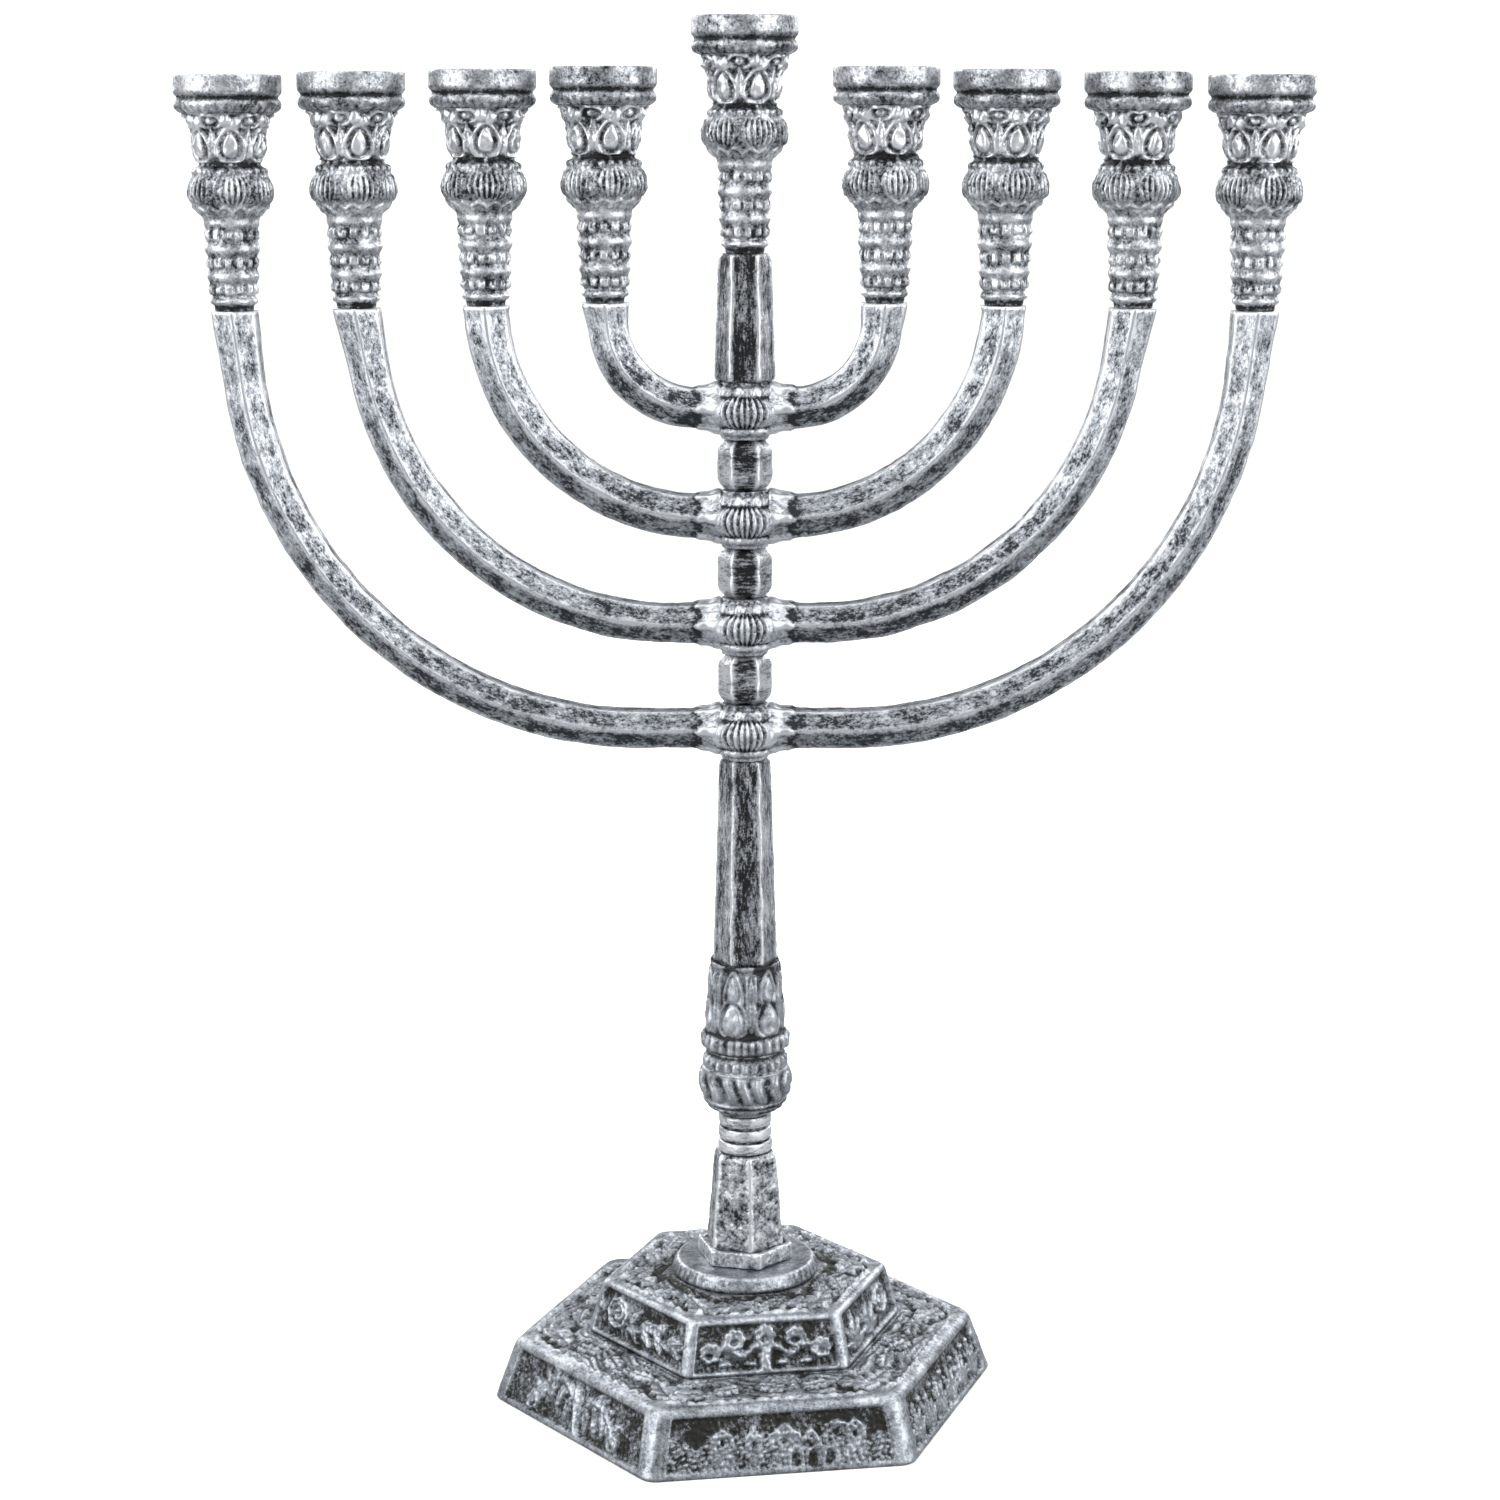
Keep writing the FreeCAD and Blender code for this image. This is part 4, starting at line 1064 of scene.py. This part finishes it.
def baseRelief(along, flat, height, side, outside):
    # side panels and tops of both tiers, rubbed edges, and slow waves over all
    push = np.zeros_like(along)
    wearAndShade = np.full_like(along, 0.42)
    grain = ripple(along, side * 30.0, height, 1.3, 161)
    level = (side == frontSide) | (side == backSide)
    for tier in tierPlan:
        zone = (height > tier["panelFrom"]) & (height < tier["panelTo"])
        zone = zone & outside & (flat > tier["panelFlat"])
        up = (height - tier["bottom"]) / (tier["top"] - tier["bottom"]) * tier["panelTall"]
        field, relief, frame = sidePanel(along, up, side, tier["footFlat"] * flatReach, tier)
        # front and back panel floors are painted darker than the side ones: painted shade on top of the
        # patina in the sunk field
        floorPatinaAndShade = np.where(level, tier["frontFloor"], tier["sideFloor"])
        sunk = field * (-1.0 + tier["proud"] * relief + tier["grain"] * grain) + frame
        tone = tier["tone"] + field * (-floorPatinaAndShade + tier["shine"] * relief + 0.1 * grain)
        push = np.where(zone, sunk, push)
        wearAndShade = np.where(zone, tone, wearAndShade)
        zone = (height >= tier["panelTo"]) & (height <= tier["topTo"]) & outside
        relief, ground = topField(along, tier["topFlat"] - flat, side, flat * flatReach, tier)
        seat = rise(flat, tier["seat"], 0.3)
        push = np.where(zone, seat * (-tier["sunk"] * ground + tier["topProud"] * relief), push)
        tone = tier["topTone"] + seat * (-tier["topFloor"] * ground + tier["topShine"] * relief)
        wearAndShade = np.where(zone, tone, wearAndShade)
        wearAndShade = wearAndShade + 0.1 * ridge(np.hypot(height - tier["top"], flat - tier["topFlat"] + 0.3), 1.0)
    # hollow next to the plate, thin bright lines down the corner bands
    wearAndShade = wearAndShade - np.where(zone, 0.3 * ridge(flat - 20.5, 2.0), 0)
    wearAndShade = wearAndShade + 0.16 * ridge(flat * flatReach - np.abs(along) - 0.2, 0.9) * outside
    uneven = ripple(along + 60.0 * side, flat, height, 6.0, 165)
    push = np.where(outside, push + 0.08 * uneven * (height > 0.6), 0)
    return push, np.where(outside, wearAndShade + 0.06 * uneven, 0.25)


def makeTier(name, tier, outline, hidden, nodes):
    # a closed ring of casting: the modelled outside, then the plain inside
    plan = basePlan
    outside = roundedPath(outline, tier["spacing"])
    inside = roundedPath(hidden, plan["hiddenSpacing"])[1:-1]
    shown = np.repeat([True, False], [len(outside), len(inside)])[:, None]

    def relief(along, flat, height, side):
        return baseRelief(along, flat, height, side, shown & (flat > 0))
    skin = hexSkin(np.concatenate([outside, inside]), tier["columns"], plan["rounding"], plan["turn"], relief)
    makePiece(name, [skin], baseSilver, nodes, "base")


def makeBase():
    lower, upper = tierPlan
    roof = topOf("base_casting")
    wall = basePlan["wall"]
    join = upper["footFlat"] - 0.4
    step = upper["bottom"]
    ceiling = lower["top"] - wall
    rim = (lower["footFlat"] - 0.6, 0, 0)
    makeTier("base_tier_1_cast", lower,
             [rim, (lower["footFlat"], 0.5, 0.4), (lower["topFlat"], lower["top"], 2.2), (join, step, 0)],
             [(join, step, 0), (join - 2.6, step - 0.6, 0.3), (join - 2.6, ceiling, 0.3),
              (lower["topFlat"] - wall, ceiling, 1.5), (lower["footFlat"] - wall, 0, 0.2), rim],
             ["base_casting"])
    sunk = (upper["footFlat"] + 0.2, step - 1.2, 0)
    makeTier("base_tier_2_cast", upper,
             [sunk, (upper["footFlat"], step, 0.3), (upper["topFlat"], upper["top"], 1.4), (21.0, roof, 0.4),
              (19.0, roof, 0)],
             [(19.0, roof, 0), (rodBore, roof, 0.1), (rodBore, roof - wall, 0.1), (20.9, roof - wall, 0.5),
              (upper["topFlat"] - wall, upper["top"] - wall, 1.5), (join - 3.0, ceiling + 0.4, 0.3),
              (join - 1.0, ceiling + 0.4, 0.3), sunk], [])


makeBase()
print("base made")

# floor, light and camera; lights are (name, place, width, height, watts)
studioPlan = {
    "floorRadius": 12.0, "floorPoints": 64, "floorColours": ("#f1f1f0", "#f4f4f3"), "floorInMetal": "#8f9193",
    "sky": 1.25, "skyInMetal": 0.52, "focalMm": 72.28, "cameraAt": (0.0013, -0.7658, 0.3317),
    "tiltDegrees": 78.415, "aimHeight": 0.18,
    "lights": (
        ("keyLeft", (-1.0, -0.6, 0.7), 1.3, 1.5, 15.0), ("keyRight", (1.0, -0.6, 0.7), 1.3, 1.5, 15.0),
        ("overhead", (0.0, -0.1, 1.5), 1.5, 1.2, 10.0), ("backLeft", (-0.7, 0.9, 0.7), 0.8, 0.8, 6.0),
        ("backRight", (0.7, 0.9, 0.7), 0.8, 0.8, 6.0),
    ),
}


def makeFloor():
    # a wide disc of white card; seen in the metal it is held darker, as black flags round a set would do
    plan = studioPlan
    count = plan["floorPoints"]
    angle = np.arange(count) / count * fullTurn
    ring = plan["floorRadius"] * np.stack([np.cos(angle), np.sin(angle), 0 * angle], axis=1)
    mesh = bpy.data.meshes.new("paleFloor")
    mesh.from_pydata(ring.tolist(), [], [list(range(count))])
    material, tree = emptyMaterial("paleCard")
    grain = addNode(tree, "ShaderNodeTexNoise", {"Scale": noiseScale(30), "Detail": 2.0}).outputs[0]
    ramp = addNode(tree, "ShaderNodeValToRGB", Fac=grain)
    for element, colour in zip(ramp.color_ramp.elements, plan["floorColours"]):
        element.color = linear(colour)
    mirrored = addNode(tree, "ShaderNodeLightPath").outputs["Is Glossy Ray"]
    mix = addNode(tree, "ShaderNodeMix", {"data_type": "RGBA", 7: linear(plan["floorInMetal"])},
                  in0=mirrored, in6=ramp.outputs[0]).outputs[2]
    shader = addNode(tree, "ShaderNodeBsdfPrincipled", {"Roughness": 0.9}, **{"Base Color": mix})
    addNode(tree, "ShaderNodeOutputMaterial", {}, Surface=shader.outputs[0])
    mesh.materials.append(material)
    floor = bpy.data.objects.new("paleFloor", mesh)
    bpy.context.collection.objects.link(floor)


def makeLight():
    # white sky, dimmer where the metal mirrors it, and soft boxes that all face the object's middle
    plan = studioPlan
    world = bpy.data.worlds.new("studioSky")
    bpy.context.scene.world = world
    world.use_nodes = True
    tree = world.node_tree
    tree.nodes.clear()
    seen = addNode(tree, "ShaderNodeLightPath").outputs["Is Glossy Ray"]
    dim = addNode(tree, "ShaderNodeBackground", {"Color": linear("#e9ebee"), "Strength": plan["skyInMetal"]})
    white = addNode(tree, "ShaderNodeBackground", {"Color": (1, 1, 1, 1), "Strength": plan["sky"]})
    mix = addNode(tree, "ShaderNodeMixShader", {}, Fac=seen, in1=white.outputs[0], in2=dim.outputs[0])
    addNode(tree, "ShaderNodeOutputWorld", {}, Surface=mix.outputs[0])
    for name, place, width, height, watts in plan["lights"]:
        light = bpy.data.lights.new(name, "AREA")
        light.shape = "RECTANGLE"
        light.size = width
        light.size_y = height
        light.energy = watts
        lamp = bpy.data.objects.new(name, light)
        lamp.location = place
        aim = np.array([0, 0, plan["aimHeight"]]) - np.array(place)
        tilt = math.atan2(math.hypot(aim[0], aim[1]), -aim[2])
        lamp.rotation_euler = (tilt, 0, math.atan2(-aim[0], aim[1]))
        bpy.context.collection.objects.link(lamp)


def makeCamera():
    camera = bpy.data.cameras.new("studioCamera")
    camera.lens = studioPlan["focalMm"]
    camera.sensor_width = 36.0
    viewer = bpy.data.objects.new("studioCamera", camera)
    viewer.location = studioPlan["cameraAt"]
    viewer.rotation_euler = (math.radians(studioPlan["tiltDegrees"]), 0, 0)
    bpy.context.collection.objects.link(viewer)
    bpy.context.scene.camera = viewer
    bpy.context.scene.view_settings.view_transform = "Standard"


makeFloor()
makeLight()
makeCamera()
print("studio made")
